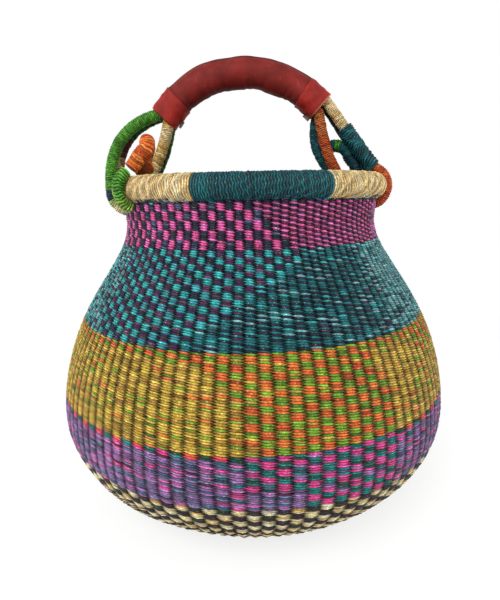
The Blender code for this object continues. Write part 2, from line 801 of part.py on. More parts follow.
def make_left_arch():
    """A rope bent double over the rim: its orange crown stands up, its green ends go round."""
    ends = (("left_arch_front_end", LEFT_FRONT_END_ANGLES),
            ("left_arch_back_end", LEFT_BACK_END_ANGLES))
    for name, angles in ends:
        points = [around_rim(-1, LEFT_ARCH_BACK, LEFT_END_REACH, angle) for angle in angles]
        rope(name, smooth_route(points, led_shares(TURN_POINTS)), LEFT_END_RADIUS,
             GREEN_WRAPPING)
    out = rim_direction(-1, LEFT_ARCH_BACK)
    along = Vector((out.y, -out.x, 0))
    ring = out * RIM_RING_RADIUS + Vector((0, 0, RIM_HEIGHT))
    crown = []
    for outward, back, up in LEFT_ARCH_SHARES:
        shift = out * outward + along * back + Vector((0, 0, up))
        crown.append(ring + shift * LEFT_ARCH_HEIGHT)
    first, last = (around_rim(-1, LEFT_ARCH_BACK, LEFT_ARCH_REACH, angle)
                   for angle in LEFT_ARCH_FOOT_ANGLES)
    route = smooth_route([first] + crown + [last], led_shares(ARCH_POINTS))
    rope("left_arch", route, LEFT_ARCH_RADIUS, ORANGE_WRAPPING)


RIGHT_ARCH_FOOT_ANGLE = 128
# How far up the arch stays beside the bound rope, as points of that rope
BESIDE_POINTS = (4, 5)
# The free part: shares of the arch's reach inward, and of its height, above the last of them
RIGHT_ARCH_SHARES = ((0.14, 0.17), (0.36, 0.27), (0.62, 0.30), (0.90, 0.26))
# How much further back each of these lies than the stretch beside the bound rope
RIGHT_ARCH_BACK_SHARES = (0.06, 0.20, 0.40, 0.52)


def right_arch_route():
    """From the rim's inner side up beside the bound rope, then in behind the inner ropes."""
    points = leg("right", "front", True, *RIGHT_OUTER_PULLS, RIGHT_OUTER_LEAVE)
    reach = RIM_TUBE_RADIUS + ARCH_RIM_GAP + RIGHT_ARCH_RADIUS
    back = rope_back("front") + RIGHT_ARCH_BACK
    route = [around_rim(1, back, reach, RIGHT_ARCH_FOOT_ANGLE)]
    for index in BESIDE_POINTS:
        direction = (points[index + 1] - points[index - 1]).normalized()
        inner = Vector((-direction.z, 0, direction.x)).normalized()
        beside = points[index] + inner * PAIR_DISTANCE
        route.append(Vector((beside.x, back, beside.z)))
    last = route[-1]
    for (inward, up), behind in zip(RIGHT_ARCH_SHARES, RIGHT_ARCH_BACK_SHARES):
        route.append(last + Vector((-RIGHT_ARCH_REACH * inward, RIGHT_ARCH_BACK * behind,
                                    RIGHT_ARCH_HEIGHT * up)))
    return route


def make_right_arch():
    route = smooth_route(right_arch_route(), led_shares(ARCH_POINTS))
    rocks(rope("right_arch", route, RIGHT_ARCH_RADIUS, TEAL_WRAPPING))


def make_binding():
    """The long teal wrapping round the lower half of the right front rope."""
    points = leg("right", "front", True, *RIGHT_OUTER_PULLS, RIGHT_OUTER_LEAVE)
    stretch = points[BINDING_FIRST_POINT:BINDING_LAST_POINT + 1:BINDING_STEP]
    radius = RIGHT_ROPE_RADIUS + BINDING_CLEARANCE + BINDING_THICKNESS
    rocks(open_tube("right_binding", stretch, [radius] * len(stretch), radius,
                    BINDING_THICKNESS, TEAL_WRAPPING))


# Grip

def open_tube(name, points, radii, depth, thickness, finish):
    """A round tube with open ends and a wall inside its outer radius."""
    curve = poly_curve(name, points, [radius / depth for radius in radii])
    curve.bevel_depth = depth
    curve.bevel_resolution = GRIP_RESOLUTION
    mesh = curve_mesh(name, curve)
    shade(mesh)
    item = mesh_object(name, mesh, finish)
    wall = item.modifiers.new("wall", "SOLIDIFY")
    wall.thickness = thickness
    wall.offset = -1
    wall.use_even_offset = True
    return item


def make_grip():
    length = grip_length()
    ends = CUFF_LENGTH + CUFF_GAP
    sleeve = grip_stretch(ends, length - ends, GRIP_POINTS)
    rocks(open_tube("leather_sleeve", sleeve, [GRIP_RADIUS] * len(sleeve), GRIP_RADIUS,
                    SLEEVE_THICKNESS, RED_BROWN_LEATHER))
    for side, name in ((-1, "left_cuff"), (1, "right_cuff")):
        ends = (CUFF_LENGTH, 0) if side < 0 else (length - CUFF_LENGTH, length)
        points = grip_stretch(*ends, CUFF_POINTS)
        radii = [CUFF_SEAM_RADIUS + (CUFF_MOUTH_RADIUS - CUFF_SEAM_RADIUS) * share
                 for share in led_shares(CUFF_POINTS)]
        rocks(open_tube(name, points, radii, CUFF_SEAM_RADIUS, CUFF_THICKNESS,
                        RED_BROWN_LEATHER))
        make_lace(side)
    make_strands(length)


def make_lace(side):
    """The cut end of the lace that closes a cuff, lying on its inner side."""
    name = "left_lace" if side < 0 else "right_lace"
    centre, axis, outer = mouth(side)
    seat = centre - outer * (CUFF_MOUTH_RADIUS + LACE_RADIUS + SEAM_GAP)
    rocks(rope(name, [seat - axis * LACE_LENGTH, seat], LACE_RADIUS, LACE_CORD))


def make_strands(length):
    """The four ropes inside the leather, which carry on between the two sides."""
    start = ROPE_INSET + STRAND_GAP
    centre_line = grip_stretch(start, length - start, GRIP_POINTS)
    for row, across in ROWS.items():
        for place_name, up in (("upper", 1), ("lower", -1)):
            points = []
            for index, point in enumerate(centre_line):
                before = centre_line[max(index - 1, 0)]
                after = centre_line[min(index + 1, len(centre_line) - 1)]
                run = (after - before).normalized()
                normal = Vector((-run.z, 0, run.x))
                points.append(point + normal * (STRAND_OFFSET * up)
                              + Vector((0, across * STRAND_OFFSET, 0)))
            rocks(rope(row + "_" + place_name + "_strand", points, STRAND_RADIUS, BARE_STRAW))


make_body()
make_rim()
make_turns()
make_legs()
make_left_arch()
make_right_arch()
make_binding()
make_grip()
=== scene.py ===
"""Bolga basket: twined grass weave, a wound rim and a rope handle with a leather grip."""
import math

import bmesh
import bpy
import numpy as np
from mathutils import Matrix, Vector


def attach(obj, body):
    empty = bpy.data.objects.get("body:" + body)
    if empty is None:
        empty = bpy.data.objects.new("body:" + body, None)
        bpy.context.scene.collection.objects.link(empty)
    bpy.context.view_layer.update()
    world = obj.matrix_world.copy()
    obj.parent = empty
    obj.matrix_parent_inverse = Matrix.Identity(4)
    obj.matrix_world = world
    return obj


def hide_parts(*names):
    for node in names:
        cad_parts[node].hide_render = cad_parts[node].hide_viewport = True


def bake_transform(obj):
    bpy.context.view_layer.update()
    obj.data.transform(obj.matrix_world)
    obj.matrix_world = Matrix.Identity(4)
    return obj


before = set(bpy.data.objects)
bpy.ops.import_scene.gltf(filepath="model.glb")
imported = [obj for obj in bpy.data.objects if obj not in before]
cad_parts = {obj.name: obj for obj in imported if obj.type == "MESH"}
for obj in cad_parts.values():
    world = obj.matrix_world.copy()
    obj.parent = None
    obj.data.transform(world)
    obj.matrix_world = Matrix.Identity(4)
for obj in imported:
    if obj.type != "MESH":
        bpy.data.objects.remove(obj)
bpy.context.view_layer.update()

bl_info = {
    "name": "Bolga Basket",
    "version": (1, 0, 0),
    "blender": (4, 5, 0),
    "location": "View3D > Sidebar > Basket",
    "description": "Dresses the basket's frame with its weave, wound rim, ropes and leather grip",
    "category": "Object",
}

# Body profile, outside of the weave, as in the part
BASE_RADIUS = 0.100
BELLY_RADIUS = 0.1847
BELLY_HEIGHT = 0.095
NECK_RADIUS = 0.1174
NECK_HEIGHT = 0.266
LIP_RADIUS = 0.1186
LIP_HEIGHT = 0.2825
BASE_SPREAD = 0.028
BASE_LIFT = 0.008
BELLY_DOWN_SHARE = 0.58
BELLY_UP_SHARE = 0.53
NECK_SHARE = 0.23
HEEL_HEIGHT = 0.024
PURPLE_HEIGHT = 0.074
OLIVE_HEIGHT = 0.117
TEAL_HEIGHT = 0.182
PINK_HEIGHT = 0.248
WALL_THICKNESS = 0.0044

# Rim and ropes, as in the part
RIM_RING_RADIUS = 0.1166
RIM_HEIGHT = 0.2943
RIM_TUBE_RADIUS = 0.0115
HANDLE_SET_BACK = 0.010
ROPE_SPREAD = 0.0085
ROPES = {"left": (-1, 0.0056, 0.0008, (0, -180)), "right": (1, 0.0052, 0.0007, (60, -140))}
ROWS = {"front": -1, "back": 1}
NOTCH_FLOORS = {"left": 0.2696, "right": 0.2705}
GRIP_ENDS = ((-0.079, 0.010, 0.3625), (0.0695, 0.010, 0.3690))
GRIP_PULLS = ((54, 0.054), (43, 0.072))
GRIP_RADIUS = 0.0140
CUFF_LENGTH = 0.021
CUFF_RADII = (0.0152, 0.0147)
MOUTH_OFFSET = 0.0059
MOUTH_LEAD = 0.002
ROPE_INSET = 0.003
ARCH_RIM_GAP = 0.0005
ARCH_RADIUS = 0.0050
ARCH_END_RADIUS = 0.0045
LEFT_ARCH_HEADING = 52
LEFT_ARCH_HEIGHT = 0.0376
RIGHT_ARCH_HEIGHT = 0.0412
RIGHT_ARCH_REACH = 0.024
RIGHT_ARCH_BACK = 0.0092
PAIR_DISTANCE = 0.0102
BINDING_RADIUS = 0.0071


def dye(red, green, blue):
    """A colour as a screen shows it, from 0 to 255, made linear."""
    return tuple((value / 255 / 12.92 if value <= 10.3 else ((value / 255 + 0.055) / 1.055) ** 2.4)
                 for value in (red, green, blue))


STRAW = dye(236, 212, 156)
PALE_STRAW = dye(248, 232, 192)
GOLD_STRAW = dye(214, 166, 82)
NEAR_BLACK = dye(46, 30, 38)
PINK = dye(248, 96, 170)
MAUVE = dye(214, 100, 166)
MAROON = dye(92, 26, 60)
NAVY = dye(34, 40, 64)
TURQUOISE = dye(44, 170, 170)
GREY_TEAL = dye(116, 180, 184)
DEEP_TEAL = dye(14, 108, 114)
BLUE_BLACK = dye(14, 36, 58)
PLUM = dye(66, 32, 72)
ORANGE = dye(242, 118, 48)
LEAF = dye(126, 166, 44)
OLIVE = dye(208, 174, 64)
DARK_OLIVE = dye(180, 140, 46)
LILAC = dye(164, 112, 172)
SLATE = dye(78, 90, 124)
ROSE = dye(244, 60, 140)
SEA_GREEN = dye(18, 122, 118)
CORAL = dye(246, 86, 70)
BOTTLE = dye(24, 74, 54)
GRASS = dye(80, 160, 36)
PALE_GRASS = dye(150, 182, 84)
RUST = dye(202, 84, 28)
BROWN_RUST = dye(168, 62, 26)
RIM_TEAL = dye(5, 92, 100)
ROPE_ORANGE = dye(234, 108, 34)


class WeaveSettings(bpy.types.PropertyGroup):
    columns: bpy.props.IntProperty(
        name="Columns", description="Upright columns of weave round the wall", default=108, min=24)
    row_height: bpy.props.FloatProperty(
        name="Row height", description="Height of one row of twisted straw",
        default=0.00185, unit="LENGTH")
    column_swell: bpy.props.FloatProperty(
        name="Column swell", description="How far the middle of a column stands over its edges",
        default=0.0016, unit="LENGTH")
    row_relief: bpy.props.FloatProperty(
        name="Row relief", description="Depth of the groove between two rows",
        default=0.00075, unit="LENGTH")
    slant_share: bpy.props.FloatProperty(
        name="Slant", description="Fall of a stitch across its column, as a share of the row",
        default=0.55, subtype="FACTOR")
    unevenness: bpy.props.FloatProperty(
        name="Unevenness", description="How unlike the stitches are in height and place",
        default=0.00014, unit="LENGTH")


class RopeSettings(bpy.types.PropertyGroup):
    rim_pitch: bpy.props.FloatProperty(
        name="Rim winding", description="Distance between two windings of the rim",
        default=0.0020, unit="LENGTH")
    rope_pitch: bpy.props.FloatProperty(
        name="Rope winding", description="Distance between two windings of a handle rope",
        default=0.0016, unit="LENGTH")
    relief: bpy.props.FloatProperty(
        name="Winding relief", description="Depth of the groove between two windings",
        default=0.0007, unit="LENGTH")


class LeatherSettings(bpy.types.PropertyGroup):
    sleeve: bpy.props.FloatVectorProperty(
        name="Sleeve", description="Colour of the leather of the grip", subtype="COLOR",
        default=dye(108, 24, 18))
    cuff: bpy.props.FloatVectorProperty(
        name="Cuffs", description="Colour of the leather of the end covers", subtype="COLOR",
        default=dye(138, 32, 25))
    # The dark edge colour also serves as painted shade in the sleeve's creases, beside its seam and on the
    # inner side of its bend
    edge: bpy.props.FloatVectorProperty(
        name="Dark edge", description="Colour of seams and creases", subtype="COLOR",
        default=dye(56, 16, 16))
    raw_edge: bpy.props.FloatVectorProperty(
        name="Raw edge", description="Colour of the cut edge and the scratches of the right cover",
        subtype="COLOR", default=dye(206, 150, 118))


class StageSettings(bpy.types.PropertyGroup):
    background: bpy.props.FloatVectorProperty(
        name="Background", description="Colour of the floor and of what lies behind",
        subtype="COLOR", default=(1.0, 1.0, 1.0))
    key_power: bpy.props.FloatProperty(
        name="Key lamp", description="Power of the large lamp at the front", default=30.0,
        unit="POWER")
    side_power: bpy.props.FloatProperty(
        name="Side lamps", description="Power of each lamp at the side", default=8.0,
        unit="POWER")
    daylight: bpy.props.FloatProperty(
        name="Daylight", description="Strength of the even light from all round", default=0.70)


# Shader expressions

class Value:
    """A node's output that can be added, multiplied and so on."""

    def __init__(self, finish, socket):
        self.finish = finish
        self.socket = socket

    def maths(self, operation, first, second):
        return self.finish.node("ShaderNodeMath", {"operation": operation},
                                {0: first, 1: second})

    def __add__(self, other):
        return self.maths("ADD", self, other)

    def __sub__(self, other):
        return self.maths("SUBTRACT", self, other)

    def __rsub__(self, other):
        return self.maths("SUBTRACT", other, self)

    def __mul__(self, other):
        return self.maths("MULTIPLY", self, other)

    def __pow__(self, other):
        return self.maths("POWER", self, other)

    __radd__ = __add__
    __rmul__ = __mul__


class Finish:
    """A material and the means to wire its nodes."""

    def __init__(self, name):
        self.material = bpy.data.materials.new(name)
        self.material.use_nodes = True
        self.tree = self.material.node_tree
        self.shader = self.tree.nodes["Principled BSDF"]

    def feed(self, socket, value):
        if isinstance(value, Value):
            self.tree.links.new(value.socket, socket)
        else:
            socket.default_value = value

    def node(self, kind, settings=None, values=None, output=0):
        """A new node with its settings, then its sockets' values or links."""
        made = self.tree.nodes.new(kind)
        for key, value in (settings or {}).items():
            if key == "stops":
                ramp = made.color_ramp
                while len(ramp.elements) < len(value):
                    ramp.elements.new(0)
                for element, (position, colour) in zip(ramp.elements, value):
                    element.position = position
                    element.color = (*colour, 1) if len(colour) == 3 else colour
            else:
                setattr(made, key, value)
        for key, value in (values or {}).items():
            self.feed(made.inputs[key], value)
        return Value(self, made.outputs[output])

    def mix(self, factor, first, second, blend="MIX"):
        """A colour between two colours."""
        first = first if isinstance(first, Value) else (*first, 1)
        second = second if isinstance(second, Value) else (*second, 1)
        return self.node("ShaderNodeMix", {"data_type": "RGBA", "blend_type": blend},
                         {0: factor, 6: first, 7: second}, 2)

    def stretched(self, vector, scale):
        return self.node("ShaderNodeMapping", values={"Vector": vector, "Scale": scale})

    def noise(self, vector, scale, detail=2.0, roughness=0.5):
        return self.node("ShaderNodeTexNoise",
                         values={"Vector": vector, "Scale": scale, "Detail": detail,
                                 "Roughness": roughness})

    def between(self, value, low, high, to_low=0.0, to_high=1.0):
        return self.node("ShaderNodeMapRange", {"clamp": True},
                         {"Value": value, "From Min": low, "From Max": high,
                          "To Min": to_low, "To Max": to_high})

    def attribute(self, name, output="Fac"):
        return self.node("ShaderNodeAttribute", {"attribute_name": name}, output=output)

    def place(self):
        return self.node("ShaderNodeTexCoord", output="Object")

    def bump(self, height, distance, strength=1.0):
        normal = self.node("ShaderNodeBump", values={"Height": height, "Distance": distance,
                                                     "Strength": strength})
        self.feed(self.shader.inputs["Normal"], normal)

    def principled(self, **values):
        for name, value in values.items():
            self.feed(self.shader.inputs[name.replace("_", " ").title()], value)
        return self.material


def straw_finish(name, sheen_share, groove, roughness=0.6):
    """Dyed grass: the dye and the painted shade of the grooves come with the mesh, the fibres run along
    each straw, and pale glints on the crests are painted highlights.
    """
    finish = Finish(name)
    along = finish.node("ShaderNodeUVMap", {"uv_map": "straw"})
    fibres = finish.noise(finish.stretched(along, (0.22, 5.0, 1)), 1.0, 3.0, 0.6)
    patches = finish.noise(finish.stretched(along, (0.55, 1.0, 1)), 1.0, 2.0, 0.6)
    lift = finish.attribute("lift")
    streak = finish.between(fibres, 0.34, 0.66)
    tone = finish.between(patches, 0.32, 0.66)
    # Painted shade: darker down in the grooves between stitches and windings, by the lift the mesh
    # carries, to the darkness given as groove
    depth = groove + (1 - groove) * lift ** 2.2
    bright = (0.66 + 0.34 * streak) * (0.46 + 0.94 * tone) * depth
    colour = finish.mix(1.0, finish.attribute("dye", "Color"), bright, "MULTIPLY")
    # Painted highlight: pale glints on the crests of the straws, as much as sheen_share
    glint = finish.between(patches, 0.62, 0.68) * finish.between(lift, 0.7, 0.95)
    colour = finish.mix(sheen_share * glint, colour, PALE_STRAW)
    finish.bump(fibres * 0.5 + lift * 0.5, 0.0004, 0.7)
    finish.shader.inputs["Specular IOR Level"].default_value = 0.22
    return finish.principled(Base_Color=colour, Roughness=roughness)


def plain_straw_finish(name, colour):
    """Undyed grass for the hidden pieces, with streaks up the object."""
    finish = Finish(name)
    streak = finish.noise(finish.stretched(finish.place(), (900, 900, 60)), 1.0, 3.0, 0.6)
    tint = finish.mix(finish.between(streak, 0.3, 0.7), tuple(c * 0.55 for c in colour), colour)
    finish.bump(streak, 0.0003, 0.5)
    finish.shader.inputs["Specular IOR Level"].default_value = 0.22
    return finish.principled(Base_Color=tint, Roughness=0.65)


def leather_finish(name, colour, edge):
    """Thin red-brown leather with a fine grain, scuffs, darker edges, and darker creases that are painted
    shade.
    """
    finish = Finish(name)
    place = finish.place()
    clouds = finish.noise(place, 55.0, 4.0, 0.6)
    grain = finish.node("ShaderNodeTexVoronoi", {"feature": "DISTANCE_TO_EDGE"},
                        {"Vector": place, "Scale": 1100.0})
    fine = finish.noise(place, 1500.0, 2.0)
    scratches = finish.noise(finish.stretched(place, (420, 420, 90)), 1.0, 3.0, 0.7)
    dark = finish.attribute("edge")
    tint = finish.mix(finish.between(clouds, 0.34, 0.68), tuple(c * 0.62 for c in colour),
                      tuple(c * 1.25 for c in colour))
    scuff = finish.between(scratches, 0.60, 0.74) * finish.between(clouds, 0.45, 0.6)
    tint = finish.mix(0.30 * scuff, tint, dye(196, 112, 92))
    tint = finish.mix(dark, tint, edge)
    finish.bump(finish.between(grain, 0.0, 0.25) * 0.5 + fine * 0.3 + clouds * 0.5, 0.0004, 0.5)
    rough = finish.between(clouds, 0.3, 0.7, 0.56, 0.42) + 0.15 * dark
    finish.shader.inputs["Specular IOR Level"].default_value = 0.15
    return finish.principled(Base_Color=tint, Roughness=rough)


# Mesh helpers

def deselect():
    for item in bpy.context.selected_objects:
        item.select_set(False)


def mesh_piece(name, verts, faces, finish, smooth=True):
    """A new object from arrays of places and of four-cornered faces."""
    mesh = bpy.data.meshes.new(name)
    mesh.vertices.add(len(verts))
    mesh.vertices.foreach_set("co", np.asarray(verts, dtype=np.float32).ravel())
    faces = np.asarray(faces, dtype=np.int32)
    corners = faces.shape[1]
    mesh.loops.add(faces.size)
    mesh.loops.foreach_set("vertex_index", faces.ravel())
    mesh.polygons.add(len(faces))
    mesh.polygons.foreach_set("loop_start", np.arange(len(faces), dtype=np.int32) * corners)
    mesh.polygons.foreach_set("loop_total", np.full(len(faces), corners, dtype=np.int32))
    mesh.update(calc_edges=True)
    mesh.validate()
    mesh.polygons.foreach_set("use_smooth", np.full(len(mesh.polygons), smooth))
    mesh.materials.append(finish)
    piece = bpy.data.objects.new(name, mesh)
    bpy.context.scene.collection.objects.link(piece)
    return piece


def give_dye(piece, colours):
    """One colour for each face."""
    layer = piece.data.attributes.new("dye", "FLOAT_COLOR", "FACE")
    rgba = np.ones((len(colours), 4), dtype=np.float32)
    rgba[:, :3] = colours
    layer.data.foreach_set("color", rgba.ravel())


def give_number(piece, name, values):
    """One number for each vertex."""
    layer = piece.data.attributes.new(name, "FLOAT", "POINT")
    layer.data.foreach_set("value", np.asarray(values, dtype=np.float32).ravel())


def give_straw_map(piece, places):
    """A flat map for the fibres: along the straw and across it, in millimetres."""
    layer = piece.data.uv_layers.new(name="straw")
    index = np.empty(len(piece.data.loops), dtype=np.int32)
    piece.data.loops.foreach_get("vertex_index", index)
    layer.data.foreach_set("uv", np.asarray(places, dtype=np.float32)[index].ravel())


# Weave

def curve_points(start, start_handle, end_handle, end, count=80):
    t = np.linspace(0, 1, count)[:, None]
    s = 1 - t
    return (s ** 3 * np.array(start) + 3 * s * s * t * np.array(start_handle)
            + 3 * s * t * t * np.array(end_handle) + t ** 3 * np.array(end))


def wall_profile():
    """The outside of the weave as (radius, height), from the middle of the floor to the rows that
    lap the rim where it is thin."""
    rise = NECK_HEIGHT - BELLY_HEIGHT
    floor = np.array([(r, 0) for r in np.linspace(0, BASE_RADIUS, 60)])
    lower = curve_points((BASE_RADIUS, 0), (BASE_RADIUS + BASE_SPREAD, BASE_LIFT),
                         (BELLY_RADIUS, BELLY_HEIGHT * (1 - BELLY_DOWN_SHARE)),
                         (BELLY_RADIUS, BELLY_HEIGHT))
    upper = curve_points((BELLY_RADIUS, BELLY_HEIGHT),
                         (BELLY_RADIUS, BELLY_HEIGHT + rise * BELLY_UP_SHARE),
                         (NECK_RADIUS, NECK_HEIGHT - rise * NECK_SHARE),
                         (NECK_RADIUS, NECK_HEIGHT))
    neck = np.array([(NECK_RADIUS + (LIP_RADIUS - NECK_RADIUS) * t,
                      NECK_HEIGHT + (LIP_HEIGHT - NECK_HEIGHT) * t)
                     for t in np.linspace(0, 1, 12)])
    lap = np.array([(RIM_RING_RADIUS + 0.0102 * math.cos(turn),
                     RIM_HEIGHT + 0.0102 * math.sin(turn))
                    for turn in np.radians(np.linspace(-78, -48, 8))])
    return np.concatenate([floor, lower[1:], upper[1:], neck[1:], lap])


PROFILE = wall_profile()
TRAVEL = np.concatenate([[0], np.cumsum(np.hypot(*np.diff(PROFILE, axis=0).T))])
FLOOR_EDGE = BASE_RADIUS


def travel_at(height):
    """Distance along the profile to a height on the wall."""
    wall = TRAVEL >= FLOOR_EDGE - 1e-9
    return float(np.interp(height, PROFILE[wall, 1], TRAVEL[wall]))


def profile_at(travel):
    """Radius, height and outward normal of the wall at distances along its profile."""
    radius = np.interp(travel, TRAVEL, PROFILE[:, 0])
    height = np.interp(travel, TRAVEL, PROFILE[:, 1])
    step = 0.003
    dr = np.interp(travel + step, TRAVEL, PROFILE[:, 0]) - np.interp(
        travel - step, TRAVEL, PROFILE[:, 0])
    dz = np.interp(travel + step, TRAVEL, PROFILE[:, 1]) - np.interp(
        travel - step, TRAVEL, PROFILE[:, 1])
    size = np.hypot(dr, dz)
    return radius, height, dz / size, -dr / size


# Across a column, from edge to edge: place in column widths, and height as a share of the swell
ACROSS = np.array([-0.5, -0.27, 0.0, 0.27, 0.5])
EDGES = np.array([1.0, 0.0, 0.0, 0.0, 1.0])
SWELL = np.array([0.0, 0.70, 1.0, 0.70, 0.0])
# Up a row: place in rows, height over the groove, and how far the stitch's tips reach
OUTER_ROW = (np.array([0.0, 0.24, 0.5, 0.76]), np.array([0.0, 0.82, 1.0, 0.82]),
             np.array([0.78, 1.02, 1.24, 1.02]))
INNER_ROW = (np.array([0.0, 0.5]), np.array([0.0, 1.0]), np.array([0.86, 1.14]))
VALLEY_TURN = math.radians(1.1)


def weave(name, start, end, columns, rows, colours, finish, inside=False, which=None):
    """Columns of stitches between two distances along the profile. Each column is one closed
    ribbon with a leaf-shaped ridge for each stitch. The tips of neighbouring columns mesh like
    a zip, because each stitch falls across its column."""
    settings = bpy.context.scene.basket_weave
    chance = np.random.default_rng(hash_name(name))
    up_row, up_relief, tips = INNER_ROW if inside else OUTER_ROW
    steps = len(up_row)
    which = np.arange(columns) if which is None else np.asarray(which)
    count = len(which)
    levels = rows * steps + 1
    row_height = (end - start) / rows
    row = np.append(np.repeat(np.arange(rows), steps), rows - 1)
    part = np.append(np.tile(up_row, rows), 1.0)
    relief = np.append(np.tile(up_relief, rows), 0.0)
    reach = np.append(np.tile(tips, rows), tips[0])
    middle = start + (row + 0.5) * row_height
    width = math.tau * np.interp(middle, TRAVEL, PROFILE[:, 0]) / columns
    side = -1 if inside else 1
    # arrays run over column, level and place across
    high = relief[None, :, None]
    across = ACROSS * np.where(EDGES > 0, reach[:, None], 1.0)
    jitter = chance.normal(0, 1, (count, rows))[:, row][:, :, None]
    tilt = chance.normal(0, 0.16, (count, rows))[:, row][:, :, None] * high
    travel = (start + (row + part) * row_height)[None, :, None] * np.ones((count, 1, 5))
    travel = travel - (settings.slant_share + tilt) * row_height * ACROSS * side
    travel = travel + 0.07 * row_height * jitter * high
    travel = np.clip(travel, 0.001, TRAVEL[-1])
    sway = chance.normal(0, 0.020, (count, rows, 5))
    sway[..., 0] -= np.abs(chance.normal(0, 0.09, (count, rows)))
    sway[..., 4] += np.abs(chance.normal(0, 0.09, (count, rows)))
    sway = sway[:, row] * high
    turn = (which[:, None, None] + 0.5 + across[None] + sway) / columns
    turn = turn * math.tau + VALLEY_TURN - math.pi / 2
    radius, height, out_r, out_z = profile_at(travel)
    fuller = np.interp(middle, [FLOOR_EDGE, FLOOR_EDGE + 0.06, FLOOR_EDGE + 0.11],
                       [1.5, 1.5, 1.0])
    swell = np.minimum(settings.column_swell * fuller, 0.25 * width)[None, :, None]
    crest = np.interp(middle, [FLOOR_EDGE, FLOOR_EDGE + 0.02], [0.0, 0.0006])[None, :, None]
    lift = SWELL + EDGES * 0.22 * high
    groove = min(settings.row_relief, 0.42 * row_height)
    depth = crest - swell * (1 - lift) - groove * (1 - high) * (0.30 + 0.70 * SWELL)
    depth = depth + settings.unevenness * jitter * (0.3 + 0.7 * SWELL) * high
    wobble = 0.0006 * np.sin(3 * turn + 20 * travel) + 0.0004 * np.sin(7 * turn - 45 * travel)
    depth = depth + wobble * np.clip((travel - FLOOR_EDGE) / 0.03, 0, 1)
    if inside:
        depth = -WALL_THICKNESS - depth + 0.0006
    out = radius + out_r * depth
    verts = np.stack([out * np.cos(turn), out * np.sin(turn),
                      np.maximum(height + out_z * depth, 0.0001)], axis=-1)
    verts = verts.reshape(-1, 3)
    base = (np.arange(count) * levels * 5)[:, None, None] + (np.arange(levels - 1) * 5)[None, :, None]
    left = np.arange(5)[None, None, :]
    right = (left + 1) % 5
    quads = np.stack([base + left, base + right, base + right + 5, base + left + 5], axis=-1)
    if inside:
        quads = quads[..., ::-1]
    piece = mesh_piece(name, verts, quads.reshape(-1, 4), finish)
    tint = colours[which][:, row[:-1]] if len(colours) == columns else colours[:, row[:-1]]
    grain = np.clip(chance.normal(1, 0.22, (*tint.shape[:2], 5, 1)), 0.4, 1.7)
    give_dye(piece, np.clip(tint[:, :, None, :] * grain, 0, 1).reshape(-1, 3))
    # Painted shade for the finish: darker at the edges of each column and in the grooves between rows
    valley_painted_shade = np.array([0.24, 0.84, 1.0, 0.84, 0.24])
    painted_shade = np.clip((0.50 + 0.50 * high) * (valley_painted_shade + 0.16 * high * EDGES), 0, 1)
    give_number(piece, "lift", np.broadcast_to(painted_shade, travel.shape))
    offset = chance.uniform(0, 60, (count, rows))[:, row][:, :, None]
    along = (which[:, None, None] + across[None]) * width[None, :, None] * 1000 + offset
    up = (row + part)[None, :, None] * row_height * 1000 + offset * 3
    give_straw_map(piece, np.stack([along, np.broadcast_to(up, along.shape)],
                                   axis=-1).reshape(-1, 2))
    close_ends(piece)
    return piece


def hash_name(name):
    """A steady number for a name, so that each piece has its own unevenness."""
    number = 7
    for letter in name:
        number = (number * 31 + ord(letter)) % 1000003
    return number


def close_ends(piece):
    """Fills the open ends of a piece's tubes."""
    shaper = bmesh.new()
    shaper.from_mesh(piece.data)
    edges = [edge for edge in shaper.edges if edge.is_boundary]
    bmesh.ops.holes_fill(shaper, edges=edges, sides=64)
    shaper.to_mesh(piece.data)
    shaper.free()


# Colours of the weave: one for each column and row

def checks(columns, rows, tall=3, shift=0):
    """True and False squares, one column wide and some rows tall."""
    column, row = np.meshgrid(np.arange(columns), np.arange(rows), indexing="ij")
    return (column + (row + shift) // tall) % 2 == 0


def headings(columns, rows):
    """Degrees from the front of the basket towards its right, for each column and row."""
    turn = (np.arange(columns) + 0.5) / columns * 360 + math.degrees(VALLEY_TURN)
    turn = (turn + 180) % 360 - 180
    return np.repeat(turn[:, None], rows, axis=1)


def palette(chance, shape, *choices):
    """A random pick for each stitch from (colour, weight) pairs."""
    colours = np.array([colour for colour, _ in choices])
    weights = np.array([weight for _, weight in choices], dtype=float)
    return colours[chance.choice(len(choices), size=shape, p=weights / weights.sum())]


def where(mask, first, second):
    return np.where(mask[..., None], first, second)


def vary(chance, colours, spread=0.22):
    """Uneven dye: each stitch a little lighter or darker, with slow changes round the wall."""
    shape = colours.shape[:2]
    tone = chance.normal(1, spread, shape)
    slow = chance.normal(0, 1, (shape[0] // 6 + 2, shape[1] // 6 + 2))
    slow = np.repeat(np.repeat(slow, 6, axis=0), 6, axis=1)[:shape[0], :shape[1]]
    return np.clip(colours * np.clip(tone + 0.06 * slow, 0.45, 1.7)[..., None], 0, 1)


def heights_of(start, end, rows):
    travel = start + (np.arange(rows) + 0.5) * (end - start) / rows
    return np.interp(travel, TRAVEL, PROFILE[:, 1])[None, :]


def alternate(columns, rows):
    column, row = np.meshgrid(np.arange(columns), np.arange(rows), indexing="ij")
    return (column + row) % 2 == 0


